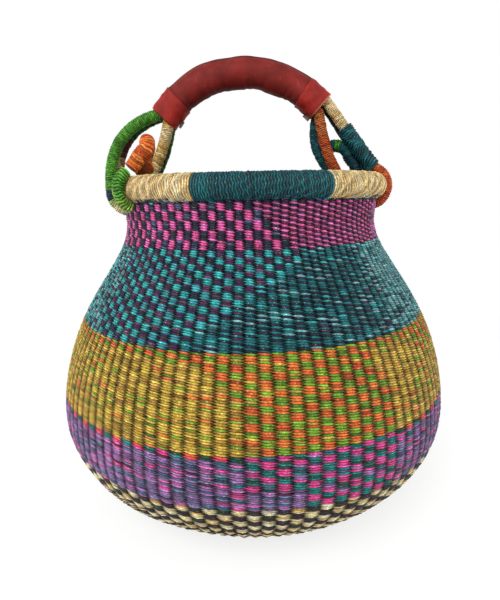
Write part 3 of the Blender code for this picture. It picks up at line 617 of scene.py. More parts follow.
def pink_dyes(chance, columns, start, end, rows):
    heading, height = headings(columns, rows), heights_of(start, end, rows)
    row = np.arange(rows)[None, :]
    square = checks(columns, rows, 4)
    bold = where(square, palette(chance, square.shape, (PINK, 8), (MAUVE, 1)),
                 palette(chance, square.shape, (NAVY, 5), (SLATE, 1), (BLUE_BLACK, 1)))
    right = where(alternate(columns, rows), palette(chance, square.shape, (MAUVE, 4), (PINK, 1)),
                  palette(chance, square.shape, (MAROON, 4), (NAVY, 1)))
    side = palette(chance, square.shape, (MAUVE, 4), (PINK, 2), (SLATE, 2), (MAROON, 1), (LILAC, 2))
    edge = 2 + (NECK_HEIGHT + 0.012 - height) / 0.030 * 14
    colours = where(heading < edge, bold, right)
    colours = where((heading > 62) | (heading < -66), side, colours)
    behind = (np.abs(heading) > 120) & (np.abs(heading) < 172)
    colours = where(behind, bold, colours)
    top = palette(chance, square.shape, (NAVY, 6), (SLATE, 2), (DEEP_TEAL, 1), (GREY_TEAL, 0.5))
    return where(np.broadcast_to(row >= rows - 4, square.shape), top, colours)


def teal_dyes(chance, columns, start, end, rows):
    heading, height = headings(columns, rows), heights_of(start, end, rows)
    square = checks(columns, rows)
    shape = square.shape
    bold = where(square, palette(chance, shape, (TURQUOISE, 5), (dye(60, 150, 170), 1)),
                 palette(chance, shape, (PLUM, 3), (BLUE_BLACK, 1), (dye(96, 66, 96), 1)))
    dark = where(alternate(columns, rows),
                 palette(chance, shape, (DEEP_TEAL, 5), (GREY_TEAL, 1), (TURQUOISE, 0.6)),
                 palette(chance, shape, (BLUE_BLACK, 4), (DEEP_TEAL, 2), (PLUM, 0.5)))
    # At the sides the teal is lighter and greyer: partly the weave's colours there, partly painted light
    # that makes up for the sides' shade
    side = palette(chance, shape, (GREY_TEAL, 8), (DEEP_TEAL, 2), (dye(100, 154, 156), 5),
                   (TURQUOISE, 0.7), (BLUE_BLACK, 0.5))
    left = where(chance.random(shape) < 0.5, bold, side)
    edge = -20 + (height - 0.184) / (0.240 - 0.184) * 36 + chance.normal(0, 1.5, shape)
    colours = where(heading < edge, bold, dark)
    colours = where(heading > 46 + chance.normal(0, 6, shape), side, colours)
    colours = where(heading < -52, left, colours)
    colours = where(heading < -72, side, colours)
    return where((np.abs(heading) > 125) & (height > 0.205), bold, colours)


def olive_dyes(chance, columns, start, end, rows):
    heading, height = headings(columns, rows), heights_of(start, end, rows)
    row = np.arange(rows)[None, :]
    square = checks(columns, rows)
    shape = square.shape
    bold = where(square, palette(chance, shape, (ORANGE, 6), (dye(226, 96, 44), 2), (DARK_OLIVE, 0.5)),
                 palette(chance, shape, (LEAF, 6), (dye(104, 152, 40), 3), (OLIVE, 1)))
    plain = palette(chance, shape, (OLIVE, 10), (DARK_OLIVE, 5), (dye(214, 164, 74), 2),
                    (ORANGE, 0.8), (LEAF, 1.4))
    left_edge = np.interp(height, [0.118, 0.154, 0.174, 0.180], [0, -4, -12, -20])
    right_edge = np.interp(height, [0.118, 0.154, 0.182], [34, 34, 28])
    inside = (heading > left_edge) & (heading < right_edge)
    colours = where(inside, bold, plain)
    behind = (np.abs(heading) > 140) & (np.abs(heading) < 176)
    colours = where(behind, bold, colours)
    upper_right = (heading > 52) & (heading < 74) & (height > 0.160)
    colours = where(upper_right & (chance.random(shape) < 0.8), bold, colours)
    return where(np.broadcast_to(row >= rows - 3, shape), bold, colours)


def purple_dyes(chance, columns, start, end, rows):
    heading = headings(columns, rows)
    row = np.arange(rows)[None, :]
    square = checks(columns, rows)
    shape = square.shape
    bold = where(square, palette(chance, shape, (dye(226, 70, 144), 6), (LILAC, 1)),
                 palette(chance, shape, (SEA_GREEN, 5), (BOTTLE, 1), (SLATE, 1)))
    mixed = palette(chance, shape, (LILAC, 7), (SLATE, 4), (MAUVE, 2), (ROSE, 0.4), (MAROON, 0.6),
                    (dye(120, 124, 160), 3), (dye(138, 96, 150), 4))
    inside = (heading > -3) & (heading < 35)
    few = (heading > -8) & (heading < 40) & (chance.random(shape) < 0.3)
    behind = (np.abs(heading) > 150)
    colours = where(inside | few | behind, bold, mixed)
    colours = where(inside & np.broadcast_to(row < 9, shape) & (heading < 12), mixed, colours)
    top = where(square, palette(chance, shape, (CORAL, 3), (ROSE, 2)),
                palette(chance, shape, (BOTTLE, 3), (SEA_GREEN, 2)))
    return where(np.broadcast_to(row >= rows - 2, shape) & ~inside, top, colours)


def base_dyes(chance, columns, start, end, rows):
    heading, height = headings(columns, rows), heights_of(start, end, rows)
    square = checks(columns, rows, 4, 1)
    shape = square.shape
    pale = palette(chance, shape, (STRAW, 5), (PALE_STRAW, 2), (GOLD_STRAW, 1))
    dark = palette(chance, shape, (NEAR_BLACK, 8), (BOTTLE, 0.6), (dye(70, 52, 50), 2))
    single = where(alternate(columns, rows) & (chance.random(shape) < 0.8), pale, dark)
    bold = where(square, pale, dark)
    fine = (height < 0.030) | ((heading < -28) & (height < 0.058))
    return where(np.broadcast_to(fine, shape), single, bold)


def floor_dyes(chance, columns, start, end, rows):
    shape = (columns, rows)
    pale = palette(chance, shape, (STRAW, 5), (PALE_STRAW, 2), (GOLD_STRAW, 1))
    dark = palette(chance, shape, (NEAR_BLACK, 8), (dye(70, 52, 50), 2))
    ring = (np.arange(rows)[None, :] // 4) % 2 == 0
    return where(np.broadcast_to(ring, shape) | (chance.random(shape) < 0.15), pale, dark)


BANDS = (
    ("heel_band", FLOOR_EDGE, travel_at(HEEL_HEIGHT), base_dyes, "straw_and_black_weft"),
    ("base_band", travel_at(HEEL_HEIGHT), travel_at(PURPLE_HEIGHT), base_dyes,
     "straw_and_black_weft"),
    ("purple_band", travel_at(PURPLE_HEIGHT), travel_at(OLIVE_HEIGHT), purple_dyes, "purple_weft"),
    ("olive_band", travel_at(OLIVE_HEIGHT), travel_at(TEAL_HEIGHT), olive_dyes, "olive_weft"),
    ("teal_band", travel_at(TEAL_HEIGHT), travel_at(PINK_HEIGHT), teal_dyes, "teal_weft"),
    ("pink_band", travel_at(PINK_HEIGHT), TRAVEL[-1], pink_dyes, "pink_weft"),
)


def notch_columns(columns):
    """The columns that end under a handle rope, and how high each may reach."""
    found = {}
    for side_name, (side, *_) in ROPES.items():
        for row in ROWS.values():
            back = HANDLE_SET_BACK + row * ROPE_SPREAD
            out = math.atan2(back, side * math.sqrt(RIM_RING_RADIUS ** 2 - back ** 2))
            place = ((out + math.pi / 2 - VALLEY_TURN) / math.tau * columns) % columns
            first = round(place) - 1
            for column in (first % columns, (first + 1) % columns):
                found[column] = NOTCH_FLOORS[side_name]
    return found


def join(name, pieces):
    """One object of several."""
    deselect()
    for piece in pieces:
        piece.select_set(True)
    bpy.context.view_layer.objects.active = pieces[0]
    bpy.ops.object.join()
    joined = bpy.context.view_layer.objects.active
    joined.name = name
    joined.data.name = name
    deselect()
    return joined


def weave_band(name, start, end, dyes, inside):
    settings = bpy.context.scene.basket_weave
    columns = settings.columns
    rows = max(2, round((end - start) / settings.row_height))
    colours = vary(np.random.default_rng(hash_name(name)),
                   dyes(np.random.default_rng(hash_name(name + "dye")), columns, start, end, rows))
    finish = straw_finish(name + ("_inner_straw" if inside else "_straw"), 0.30, 0.08)
    title = name + ("_inner_weave" if inside else "_weave")
    if name != "pink_band":
        return weave(title, start, end, columns, rows, colours, finish, inside)
    short = notch_columns(columns)
    whole = [column for column in range(columns) if column not in short]
    pieces = [weave(title, start, end, columns, rows, colours, finish, inside, whole)]
    row_height = (end - start) / rows
    for floor in sorted(set(short.values())):
        cut = [column for column, height in short.items() if height == floor]
        fewer = int((travel_at(floor) - start) / row_height)
        pieces.append(weave(title + "_cut", start, start + fewer * row_height, columns, fewer,
                            colours[:, :fewer], finish, inside, cut))
    return join(title, pieces)


# Rope routes, as in the part

def even_shares(count):
    return [step / (count - 1) for step in range(count)]


def bezier(start, start_handle, end_handle, end, shares):
    """Points along one cubic curve."""
    points = []
    for t in shares:
        s = 1 - t
        points.append(start * s ** 3 + start_handle * (3 * s * s * t)
                      + end_handle * (3 * s * t * t) + end * t ** 3)
    return points


def smooth_route(knots, shares):
    """Points on a Catmull-Rom curve through the knots."""
    ends = [knots[0] * 2 - knots[1]] + knots + [knots[-1] * 2 - knots[-2]]
    points = []
    for share in shares:
        place_along = share * (len(knots) - 1)
        index = min(int(place_along), len(knots) - 2)
        t = place_along - index
        a, b, c, d = ends[index:index + 4]
        points.append((b * 2 + (c - a) * t + (a * 2 - b * 5 + c * 4 - d) * t * t
                       + (b * 3 - a - c * 3 + d) * t ** 3) / 2)
    return points


def rope_back(row):
    return HANDLE_SET_BACK + ROWS[row] * ROPE_SPREAD


def around_rim(side, back, reach, angle):
    """A point round the rim tube. Angle 0 is outside, 90 on top, 180 inside."""
    across = math.sqrt(RIM_RING_RADIUS ** 2 - back ** 2)
    out = Vector((side * across, back, 0)) / RIM_RING_RADIUS
    turn = math.radians(angle)
    centre = out * RIM_RING_RADIUS + Vector((0, 0, RIM_HEIGHT))
    return centre + out * (reach * math.cos(turn)) + Vector((0, 0, reach * math.sin(turn)))


def turn_reach(side_name):
    return RIM_TUBE_RADIUS + ROPES[side_name][2] + ROPES[side_name][1]


def grip_handles():
    """The four control points of the grip's centre line."""
    left, right = (Vector(end) for end in GRIP_ENDS)
    (left_turn, left_pull), (right_turn, right_pull) = GRIP_PULLS
    up_left, up_right = math.radians(left_turn), math.radians(right_turn)
    left_handle = left + Vector((math.cos(up_left), 0, math.sin(up_left))) * left_pull
    right_handle = right + Vector((-math.cos(up_right), 0, math.sin(up_right))) * right_pull
    return left, left_handle, right_handle, right


def mouth(side):
    """Centre of a cuff's mouth, its axis out of the cuff and its outer-side normal."""
    left, left_handle, right_handle, right = grip_handles()
    centre = left if side < 0 else right
    axis = (left - left_handle if side < 0 else right - right_handle).normalized()
    outer = Vector((-axis.z, 0, axis.x)) * side
    return centre, axis, outer


def leg_route(side_name, row, outside, rim_pull, cuff_pull, leave, count=40):
    """A rope between its turn under the rim and its place in the cuff's mouth."""
    side, _, _, angles = ROPES[side_name]
    angle = angles[0] if outside else angles[1]
    back = rope_back(row)
    reach = turn_reach(side_name)
    foot = around_rim(side, back, reach, angle)
    ahead = around_rim(side, back, reach, angle + (90 if outside else -90))
    upward = (ahead - around_rim(side, back, 0, 0)).normalized()
    middle, axis, outer = mouth(side)
    seat = middle + outer * (MOUTH_OFFSET if outside else -MOUTH_OFFSET)
    seat += axis * MOUTH_LEAD
    seat.y += ROWS[row] * MOUTH_OFFSET
    away = Vector((side * leave[0], ROWS[row] * leave[1], leave[2])).normalized()
    foot += upward * 0.0018
    run = bezier(foot, foot + upward * rim_pull, seat + away * cuff_pull, seat,
                 even_shares(count))
    return run + [seat - axis * (ROPE_INSET + MOUTH_LEAD)]


def turn_route(side_name, row):
    """The part of a rope that goes under the rim."""
    side, _, _, (start, end) = ROPES[side_name]
    back, reach = rope_back(row), turn_reach(side_name)
    return [around_rim(side, back, reach, start + 7 + (end - start - 14) * share)
            for share in even_shares(30)]


LEFT_ARCH_BACK = -RIM_RING_RADIUS * math.cos(math.radians(LEFT_ARCH_HEADING))
LEFT_ARCH_FEET = (76, 116)
# Shares of the arch's height: out from the rim's ring, back along the rim, and up
LEFT_ARCH_SHARES = ((0.03, -0.02, 0.53), (-0.04, -0.07, 0.64), (-0.14, -0.11, 0.76),
                    (-0.235, -0.13, 0.88), (-0.305, 0, 1.015), (-0.365, 0.135, 0.88),
                    (-0.30, 0.17, 0.73), (-0.255, 0.16, 0.57), (-0.25, 0.09, 0.45))
LEFT_ARCH_RADII = (0.0060, 0.0068, 0.0062, 0.0074, 0.0080)
LEFT_ARCH_ENDS = (("left_arch_front_end", (-66, -46, -24, 5, 34, 60)),
                  ("left_arch_back_end", (132, 160, 188, 212, 240)))
RIGHT_ARCH_FOOT = 128
RIGHT_ARCH_BESIDE = (3, 4)
# Shares of the arch's reach inward, of its height and of its way back
RIGHT_ARCH_SHARES = ((0.14, 0.17, 0.06), (0.36, 0.27, 0.20), (0.62, 0.30, 0.40),
                     (0.90, 0.26, 0.52))
RIGHT_OUTER = (0.012, 0.030, (0.60, 0.08, -0.80))


def left_arch_route():
    """A loop that stands on the rim: up from its outer side, over, and down inside."""
    reach = RIM_TUBE_RADIUS + ARCH_RIM_GAP + ARCH_RADIUS
    foot, last = (around_rim(-1, LEFT_ARCH_BACK, reach, angle) for angle in LEFT_ARCH_FEET)
    ring = around_rim(-1, LEFT_ARCH_BACK, 0, 0)
    out = Vector((ring.x, ring.y, 0)).normalized()
    along = Vector((out.y, -out.x, 0))
    crown = [ring + (out * outward + along * back + Vector((0, 0, up))) * LEFT_ARCH_HEIGHT
             for outward, back, up in LEFT_ARCH_SHARES]
    return smooth_route([foot] + crown + [last], even_shares(90))


def left_end_route(angles):
    reach = RIM_TUBE_RADIUS + ARCH_RIM_GAP + ARCH_END_RADIUS
    return smooth_route([around_rim(-1, LEFT_ARCH_BACK, reach, angle) for angle in angles],
                        even_shares(40))


def right_arch_route():
    """From the rim's inner side up beside the bound rope, then in behind the inner ropes."""
    points = leg_route("right", "front", True, *RIGHT_OUTER, count=11)
    back = rope_back("front") + RIGHT_ARCH_BACK
    route = [around_rim(1, back, RIM_TUBE_RADIUS + ARCH_RIM_GAP + ARCH_RADIUS, RIGHT_ARCH_FOOT)]
    for index in RIGHT_ARCH_BESIDE:
        direction = (points[index + 1] - points[index - 1]).normalized()
        inner = Vector((-direction.z, 0, direction.x)).normalized()
        beside = points[index] + inner * PAIR_DISTANCE
        route.append(Vector((beside.x, back, beside.z)))
    last = route[-1]
    route += [last + Vector((-RIGHT_ARCH_REACH * inward, RIGHT_ARCH_BACK * behind,
                             RIGHT_ARCH_HEIGHT * up))
              for inward, up, behind in RIGHT_ARCH_SHARES]
    return smooth_route(route, even_shares(80))


# Winding

def along_route(route, travel):
    """Places and frames at distances along a route: centre, forward, and two across."""
    places = np.array([tuple(point) for point in route])
    gaps = np.linalg.norm(np.diff(places, axis=0), axis=1)
    travelled = np.concatenate([[0], np.cumsum(gaps)])
    ahead = np.gradient(places, travelled, axis=0)
    ahead /= np.linalg.norm(ahead, axis=1)[:, None]
    start = np.array([0.0, 1.0, 0.0]) if abs(ahead[0][1]) < 0.9 else np.array([1.0, 0.0, 0.0])
    across = []
    last = start
    for forward in ahead:
        last = last - forward * last.dot(forward)
        last = last / np.linalg.norm(last)
        across.append(last)
    across = np.array(across)

    def pick(values):
        return np.stack([np.interp(travel, travelled, values[:, k]) for k in range(3)], axis=-1)

    centre, forward, one = pick(places), pick(ahead), pick(across)
    forward /= np.linalg.norm(forward, axis=1)[:, None]
    one = one - forward * np.sum(one * forward, axis=1)[:, None]
    one /= np.linalg.norm(one, axis=1)[:, None]
    return centre, forward, one, np.cross(forward, one)


def route_length(route):
    places = np.array([tuple(point) for point in route])
    return float(np.linalg.norm(np.diff(places, axis=0), axis=1).sum())


def slow_noise(chance, count, length):
    """A slowly changing random number along a count of steps."""
    knots = chance.normal(0, 1, max(2, count // length + 2))
    return np.interp(np.linspace(0, len(knots) - 1, count), np.arange(len(knots)), knots)


def winding_dyes(chance, count, stops):
    """A colour for each winding from (share where it starts, palette) pairs."""
    share = (np.arange(count) + 0.5) / count + chance.normal(0, 0.006, count)
    colours = np.zeros((count, 3))
    for start, choices in stops:
        here = share >= start if start > 0 else np.ones(count, dtype=bool)
        colours[here] = palette(chance, (count,), *choices)[here]
    return colours * np.clip(chance.normal(1, 0.09, count), 0.7, 1.3)[:, None]


def wind(name, route, radius, pitch, stops, finish, around=24, lean=0.4, waves=(4, 0.22),
         relief=None):
    """A rope's tight windings along a route: closed tube, a ridge for each winding.
    Lean is how many windings a straw strays along the rope on its way round, and waves are
    how often it bends to and fro there, and how far."""
    chance = np.random.default_rng(hash_name(name))
    relief = relief or bpy.context.scene.basket_ropes.relief
    length = route_length(route)
    count = max(3, round(length / pitch))
    step = length / count
    number = np.append(np.repeat(np.arange(count), 4), count - 1)
    part = np.append(np.tile([0.0, 0.22, 0.5, 0.78], count), 1.0)
    high = np.append(np.tile([0.0, 0.74, 1.0, 0.74], count), 0.0)
    centre, forward, one, two = along_route(route, (number + part) * step)
    turn = math.tau * np.arange(around) / around
    levels = len(number)
    leaning = lean * step * slow_noise(chance, count, 9)[number][:, None]
    phase = 1.2 * slow_noise(chance, count, 14)[number][:, None]
    shift = leaning * np.sin(turn[None, :] + phase)
    often, far = waves
    wave = np.sin(often * turn[None, :] + (np.arange(count) * 0.9
                                           + 1.5 * slow_noise(chance, count, 5))[number][:, None])
    shift = shift + far * step * wave
    stray = chance.normal(0, 0.13, (count, around))[number] * step * high[:, None]
    stray = (stray + np.roll(stray, 1, axis=1) + np.roll(stray, -1, axis=1)) / 2
    ends = np.clip(np.minimum(number, count - 1 - number) / 4, 0, 1)[:, None]
    shift = (shift + stray) * ends
    swell = chance.normal(0, 0.16, count)[number][:, None] * relief
    grain = chance.normal(0, 0.10, (count, around))[number] * relief
    height = -relief * (1 - high)[:, None] + (swell + grain + 0.25 * relief * wave) * high[:, None]
    radii = np.atleast_1d(radius)
    reach = np.interp(np.linspace(0, 1, levels), np.linspace(0, 1, len(radii)), radii)[:, None]
    girth = math.tau * float(radii.mean()) * 1000 * turn[None, :] / math.tau
    reach = reach + height
    verts = (centre[:, None] + forward[:, None] * shift[..., None]
             + one[:, None] * (reach * np.cos(turn))[..., None]
             + two[:, None] * (reach * np.sin(turn))[..., None])
    base = (np.arange(levels - 1) * around)[:, None]
    here = np.arange(around)[None, :]
    after = (here + 1) % around
    faces = np.stack([base + here, base + after, base + around + after, base + around + here],
                     axis=-1).reshape(-1, 4)
    piece = mesh_piece(name, verts.reshape(-1, 3), faces, finish)
    colours = winding_dyes(chance, count, stops)
    tint = np.repeat(colours[number[:-1]][:, None, :], around, axis=1)
    # Each face a little lighter or darker at random, and lighter and darker in turn along the windings'
    # waves
    glow = chance.normal(1, 0.14, (levels - 1, around)) + 0.7 * far * wave[:-1]
    tint = tint * np.clip(glow, 0.5, 1.6)[..., None]
    give_dye(piece, np.clip(tint, 0, 1).reshape(-1, 3))
    # The windings' ridges as lift, from which the finish paints shade in the grooves between them
    give_number(piece, "lift", np.repeat(high[:, None], around, axis=1))
    offset = chance.uniform(0, 60, count)[number][:, None]
    across_map = np.broadcast_to(((number + part) * step)[:, None] * 1000 + offset, shift.shape)
    give_straw_map(piece, np.stack([girth + offset, across_map], axis=-1).reshape(-1, 2))
    close_ends(piece)
    return piece


def arc_route(start, end):
    """The rim's centre line between two headings in degrees, counted from the right."""
    count = max(8, round((end - start) / 1.5))
    return [Vector((RIM_RING_RADIUS * math.cos(turn), RIM_RING_RADIUS * math.sin(turn),
                    RIM_HEIGHT))
            for turn in (math.radians(start + (end - start) * share)
                         for share in even_shares(count))]


STRAW_WINDING = ((dye(222, 192, 134), 6), (dye(240, 216, 168), 3), (dye(206, 170, 106), 3))
TEAL_WINDING = ((RIM_TEAL, 6), (dye(12, 106, 112), 3), (dye(6, 74, 84), 3))
GREEN_WINDING = ((GRASS, 6), (dye(96, 172, 46), 3), (dye(62, 132, 32), 2))
CORE_WINDING = ((dye(52, 120, 34), 4), (dye(34, 92, 30), 2), (GRASS, 1))
RUST_WINDING = ((RUST, 6), (dye(214, 104, 40), 2), (BROWN_RUST, 1))
ORANGE_WINDING = ((ROPE_ORANGE, 6), (dye(238, 132, 60), 2), (dye(196, 84, 30), 2))
VIVID_ORANGE_WINDING = ((dye(236, 108, 30), 6), (dye(244, 136, 52), 3), (dye(206, 84, 22), 2))
LIME_WINDING = ((dye(152, 186, 66), 4), (dye(120, 172, 54), 3), (dye(190, 206, 104), 2))
# Teal darkened as painted shade, for the right arch's limb that lies in shade beside the binding
SHADED_TEAL_WINDING = ((dye(10, 74, 86), 5), (dye(8, 54, 66), 3), (dye(20, 100, 108), 1))
# Near black as painted shade, for a strand in shadow behind another and for the turns' ends under the rim
PAINTED_SHADE_WINDING = ((dye(22, 48, 44), 4), (dye(12, 32, 38), 3), (BOTTLE, 1))
DIRTY_WINDING = ((dye(206, 168, 92), 4), (dye(182, 140, 70), 2), (STRAW, 3))
# Maroon and brown: orange rope painted in shade, where it lies in shadow behind the others
SHADED_ORANGE_WINDING = ((dye(104, 34, 42), 4), (dye(76, 26, 36), 2), (dye(140, 104, 74), 1))

RIM_STRETCHES = (
    ("rim_wrap_front", 250, 300, TEAL_WINDING, "teal_wrapping", 0.8, (9, 0.26), 0.07,
     (0.0105, 0.0103, 0.0105)),
    ("rim_wrap_right", 300, 430, STRAW_WINDING, "straw_wrapping", 1.1, (5, 0.36), 0.36,
     (0.0106, 0.0110, 0.0116, 0.0116, 0.0116, 0.0116)),
    ("rim_wrap_back", 70, 120, TEAL_WINDING, "teal_wrapping", 0.8, (9, 0.26), 0.07,
     (0.0116, 0.0116)),
    ("rim_wrap_left", 120, 250, STRAW_WINDING, "straw_wrapping", 1.1, (5, 0.36), 0.36,
     (0.0116, 0.0116, 0.0116, 0.0116, 0.0110, 0.0106)),
)

LEFT_OUTER = (0.0268, 0.0430, (0.97, 0.10, -0.25))
LEFT_INNER = (0.012, 0.040, (0.21, 0.08, -0.98))
RIGHT_FRONT_INNER = (0.044, 0.030, (0.20, 0.08, -1))
RIGHT_BACK_INNER = (0.054, 0.034, (-0.15, 0.08, -1))

LEGS = (
    ("left_front_outer_leg", "left", "front", True, LEFT_OUTER,
     ((0, GREEN_WINDING),), "green_wrapping"),
    ("left_front_inner_leg", "left", "front", False, LEFT_INNER,
     ((0, STRAW_WINDING), (0.30, DIRTY_WINDING), (0.62, STRAW_WINDING), (0.86, DIRTY_WINDING)),
     "straw_wrapping"),
    ("left_back_outer_leg", "left", "back", True, LEFT_OUTER,
     ((0, STRAW_WINDING), (0.34, SHADED_ORANGE_WINDING), (0.55, CORE_WINDING)), "maroon_wrapping"),
    ("left_back_inner_leg", "left", "back", False, LEFT_INNER,
     ((0, CORE_WINDING),), "dark_green_wrapping"),
    ("right_front_outer_leg", "right", "front", True, RIGHT_OUTER,
     ((0, RUST_WINDING), (0.12, STRAW_WINDING)), "straw_wrapping"),
    ("right_front_inner_leg", "right", "front", False, RIGHT_FRONT_INNER,
     ((0, RUST_WINDING), (0.7, ((dye(196, 108, 48), 5), (RUST, 2)))), "rust_wrapping"),
    ("right_back_outer_leg", "right", "back", True, RIGHT_OUTER,
     ((0, PAINTED_SHADE_WINDING),), "dark_green_wrapping"),
    ("right_back_inner_leg", "right", "back", False, RIGHT_BACK_INNER,
     ((0, CORE_WINDING), (0.30, TEAL_WINDING)), "teal_wrapping"),
)

TURNS = (
    ("left_front_turn", "left", "front", ((0, ((dye(26, 70, 76), 3), (BLUE_BLACK, 1))),
                                          (0.16, ((dye(176, 176, 120), 3), (STRAW, 3),
                                                  (PALE_GRASS, 2))),
                                          (0.46, PAINTED_SHADE_WINDING))),
    ("left_back_turn", "left", "back", ((0, STRAW_WINDING), (0.5, PAINTED_SHADE_WINDING))),
    ("right_front_turn", "right", "front", ((0, RUST_WINDING),)),
    ("right_back_turn", "right", "back", ((0, RUST_WINDING),)),
)


# Leather

def leather_tube(name, route, radii, around, wrinkle, finish, lead, slant=0.0,
                 marks=(1.0, 1.0)):
    """A closed skin round a route: outside, rounded ends, and an inner face behind each end.
    Wrinkle moves a point in or out by its distance along and its turn, and darkens it.
    Slant is how much further the lower side reaches at the start. Marks are how much of the
    edge's colour each end has."""
    length = route_length(route)
    steps = max(12, round(length / 0.0011))
    travel = np.linspace(0, length, steps)
    centre, forward, one, two = along_route(route, travel)
    turn = math.tau * np.arange(around) / around
    radius = np.interp(travel / length, np.linspace(0, 1, len(radii)), radii)
    rise, dark = wrinkle(travel[:, None] / length, turn[None, :], length)
    reach = radius[:, None] + rise
    verts = [centre[:, None] + one[:, None] * (reach * np.cos(turn))[..., None]
             + two[:, None] * (reach * np.sin(turn))[..., None]]
    edges = [np.broadcast_to(dark, reach.shape)]

    def turned_in(index, sign):
        rows, tints = [], []
        for out, back in ((0.35, 0.15), (0.85, 0.25), (1.35, 0.0), (1.5, -0.8), (1.5, -lead)):
            inset = reach[index] - out * 0.001
            middle = centre[index] + forward[index] * sign * back * 0.001
            rows.append(middle + one[index] * (inset * np.cos(turn))[:, None]
                        + two[index] * (inset * np.sin(turn))[:, None])
            tints.append(np.full(around, 0.9 if back < 0 else 0.55))
        return np.array(rows), np.array(tints)

    first_rows, first_tints = turned_in(0, -1)
    last_rows, last_tints = turned_in(-1, 1)
    stack = np.concatenate([first_rows[::-1], verts[0], last_rows])
    fade = np.clip(1 - np.arange(len(stack)) / len(stack), 0, 1)[:, None] ** 2
    stack = stack - forward[0] * (slant * fade * (1 - np.sin(turn)) / 2)[..., None]
    edges = np.concatenate([first_tints[::-1] * marks[0], edges[0], last_tints * marks[1]])
    levels = len(stack)
    base = (np.arange(levels - 1) * around)[:, None]
    here = np.arange(around)[None, :]
    after = (here + 1) % around
    faces = np.stack([base + here, base + after, base + around + after, base + around + here],
                     axis=-1).reshape(-1, 4)
    piece = mesh_piece(name, stack.reshape(-1, 3), faces, finish)
    give_number(piece, "edge", edges)
    close_ends(piece)
    return piece


def ripple(share, turn, length, seed, size):
    """Smooth unevenness from a few waves."""
    chance = np.random.default_rng(seed)
    total = np.zeros(np.broadcast(share, turn).shape)
    for _ in range(9):
        along = chance.uniform(20, 130) * length
        round_it = chance.integers(0, 4)
        total = total + np.sin(math.tau * along * share * 0.25 + round_it * turn
                               + chance.uniform(0, math.tau))
    return total / 9 * size


def sleeve_wrinkle(share, turn, length):
    """Lumps of the ropes inside, cross folds on the inner side of the bend, and the seam. The seam is
    darkened; the fold troughs, the groove beside the seam and the inner side of the bend are darkened as
    painted shade.
    """
    under = np.clip(-np.sin(turn), 0, 1)
    lumps = ripple(share, turn, length, 5, 0.0014)
    folds = 0.00030 * np.sin(share * length * 620 + 2.2 * np.sin(share * 21) + turn) * under
    folds = folds * (0.6 + 0.4 * np.sin(share * 37))
    away = np.arctan2(np.sin(turn - SEAM_TURN), np.cos(turn - SEAM_TURN))
    wander = away + 0.10 * np.sin(share * 9)
    seam = np.exp(-(wander / 0.07) ** 2)
    beside = np.exp(-((wander - 0.16) / 0.08) ** 2)
    rise = lumps + folds + 0.0007 * seam - 0.0004 * beside
    # Painted shade in the groove beside the seam, in the folds' troughs and on the inner side of the bend;
    # the seam itself is dark
    dark = np.clip(0.55 * seam + 0.4 * beside + np.clip(-folds * 1400, 0, 0.25)
                   + 0.40 * under ** 2, 0, 1)
    return rise, np.broadcast_to(dark, rise.shape)


SEAM_TURN = 1.9


def cuff_wrinkle(share, turn, length):
    lumps = ripple(share, turn, length * 4, 9, 0.0009)
    fold = np.exp(-((share - 0.5 - 0.35 * np.sin(turn + 0.8)) / 0.05) ** 2)
    rim = 0.6 * np.clip((share - 0.95) / 0.05, 0, 1)
    mouth_share = np.abs(share - 0.5) * 2
    rise = lumps + 0.0003 * fold - 0.0008 * np.cos(4 * turn) * mouth_share
    return rise, np.broadcast_to(rim, rise.shape)


def grip_route(start, end, count):
    """Points on the grip's centre line between two distances from its left end."""
    line = np.array([tuple(point) for point in bezier(*grip_handles(), even_shares(300))])
    travelled = np.concatenate([[0], np.cumsum(np.linalg.norm(np.diff(line, axis=0), axis=1))])
    end = travelled[-1] + end if end <= 0 else end
    wanted = np.linspace(start, end, count)
    return [Vector([np.interp(value, travelled, line[:, k]) for k in range(3)])
            for value in wanted]


# Operators

class BASKET_OT_weave(bpy.types.Operator):
    """Weaves the floor and the five colour bands, outside and inside"""
    bl_idname = "basket.weave"
    bl_label = "Weave"

    def execute(self, context):
        for name, start, end, dyes, slot in BANDS:
            for inside in (False, True):
                piece = weave_band(name, start, end, dyes, inside)
                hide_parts(name + ("_inner" if inside else "_outer"))
                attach(piece, "basket")
        for inside in (False, True):
            piece = weave_floor(inside)
            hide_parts("floor_band" + ("_inner" if inside else "_outer"))
            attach(piece, "basket")
        return {"FINISHED"}


def weave_floor(inside):
    """The floor's rounds, with fewer columns towards the middle, and the knot there."""
    name = "floor_inner_weave" if inside else "floor_weave"
    finish = straw_finish(name + "_straw", 0.30, 0.08)
    settings = bpy.context.scene.basket_weave
    pieces = []
    edges = (BASE_RADIUS, 0.062, 0.031, 0.0135)
    columns = settings.columns
    for outer, inner in zip(edges, edges[1:] + (0.002,)):
        rows = max(3, round((outer - inner) / settings.row_height))
        chance = np.random.default_rng(hash_name(name) + columns)
        colours = vary(chance, floor_dyes(chance, columns, inner, outer, rows))
        pieces.append(weave(name + "_round", inner, outer, columns, rows, colours, finish, inside))
        columns = max(14, columns // 2)
    knot = knot_mesh(name + "_knot", finish, inside)
    return join(name, [knot] + pieces)


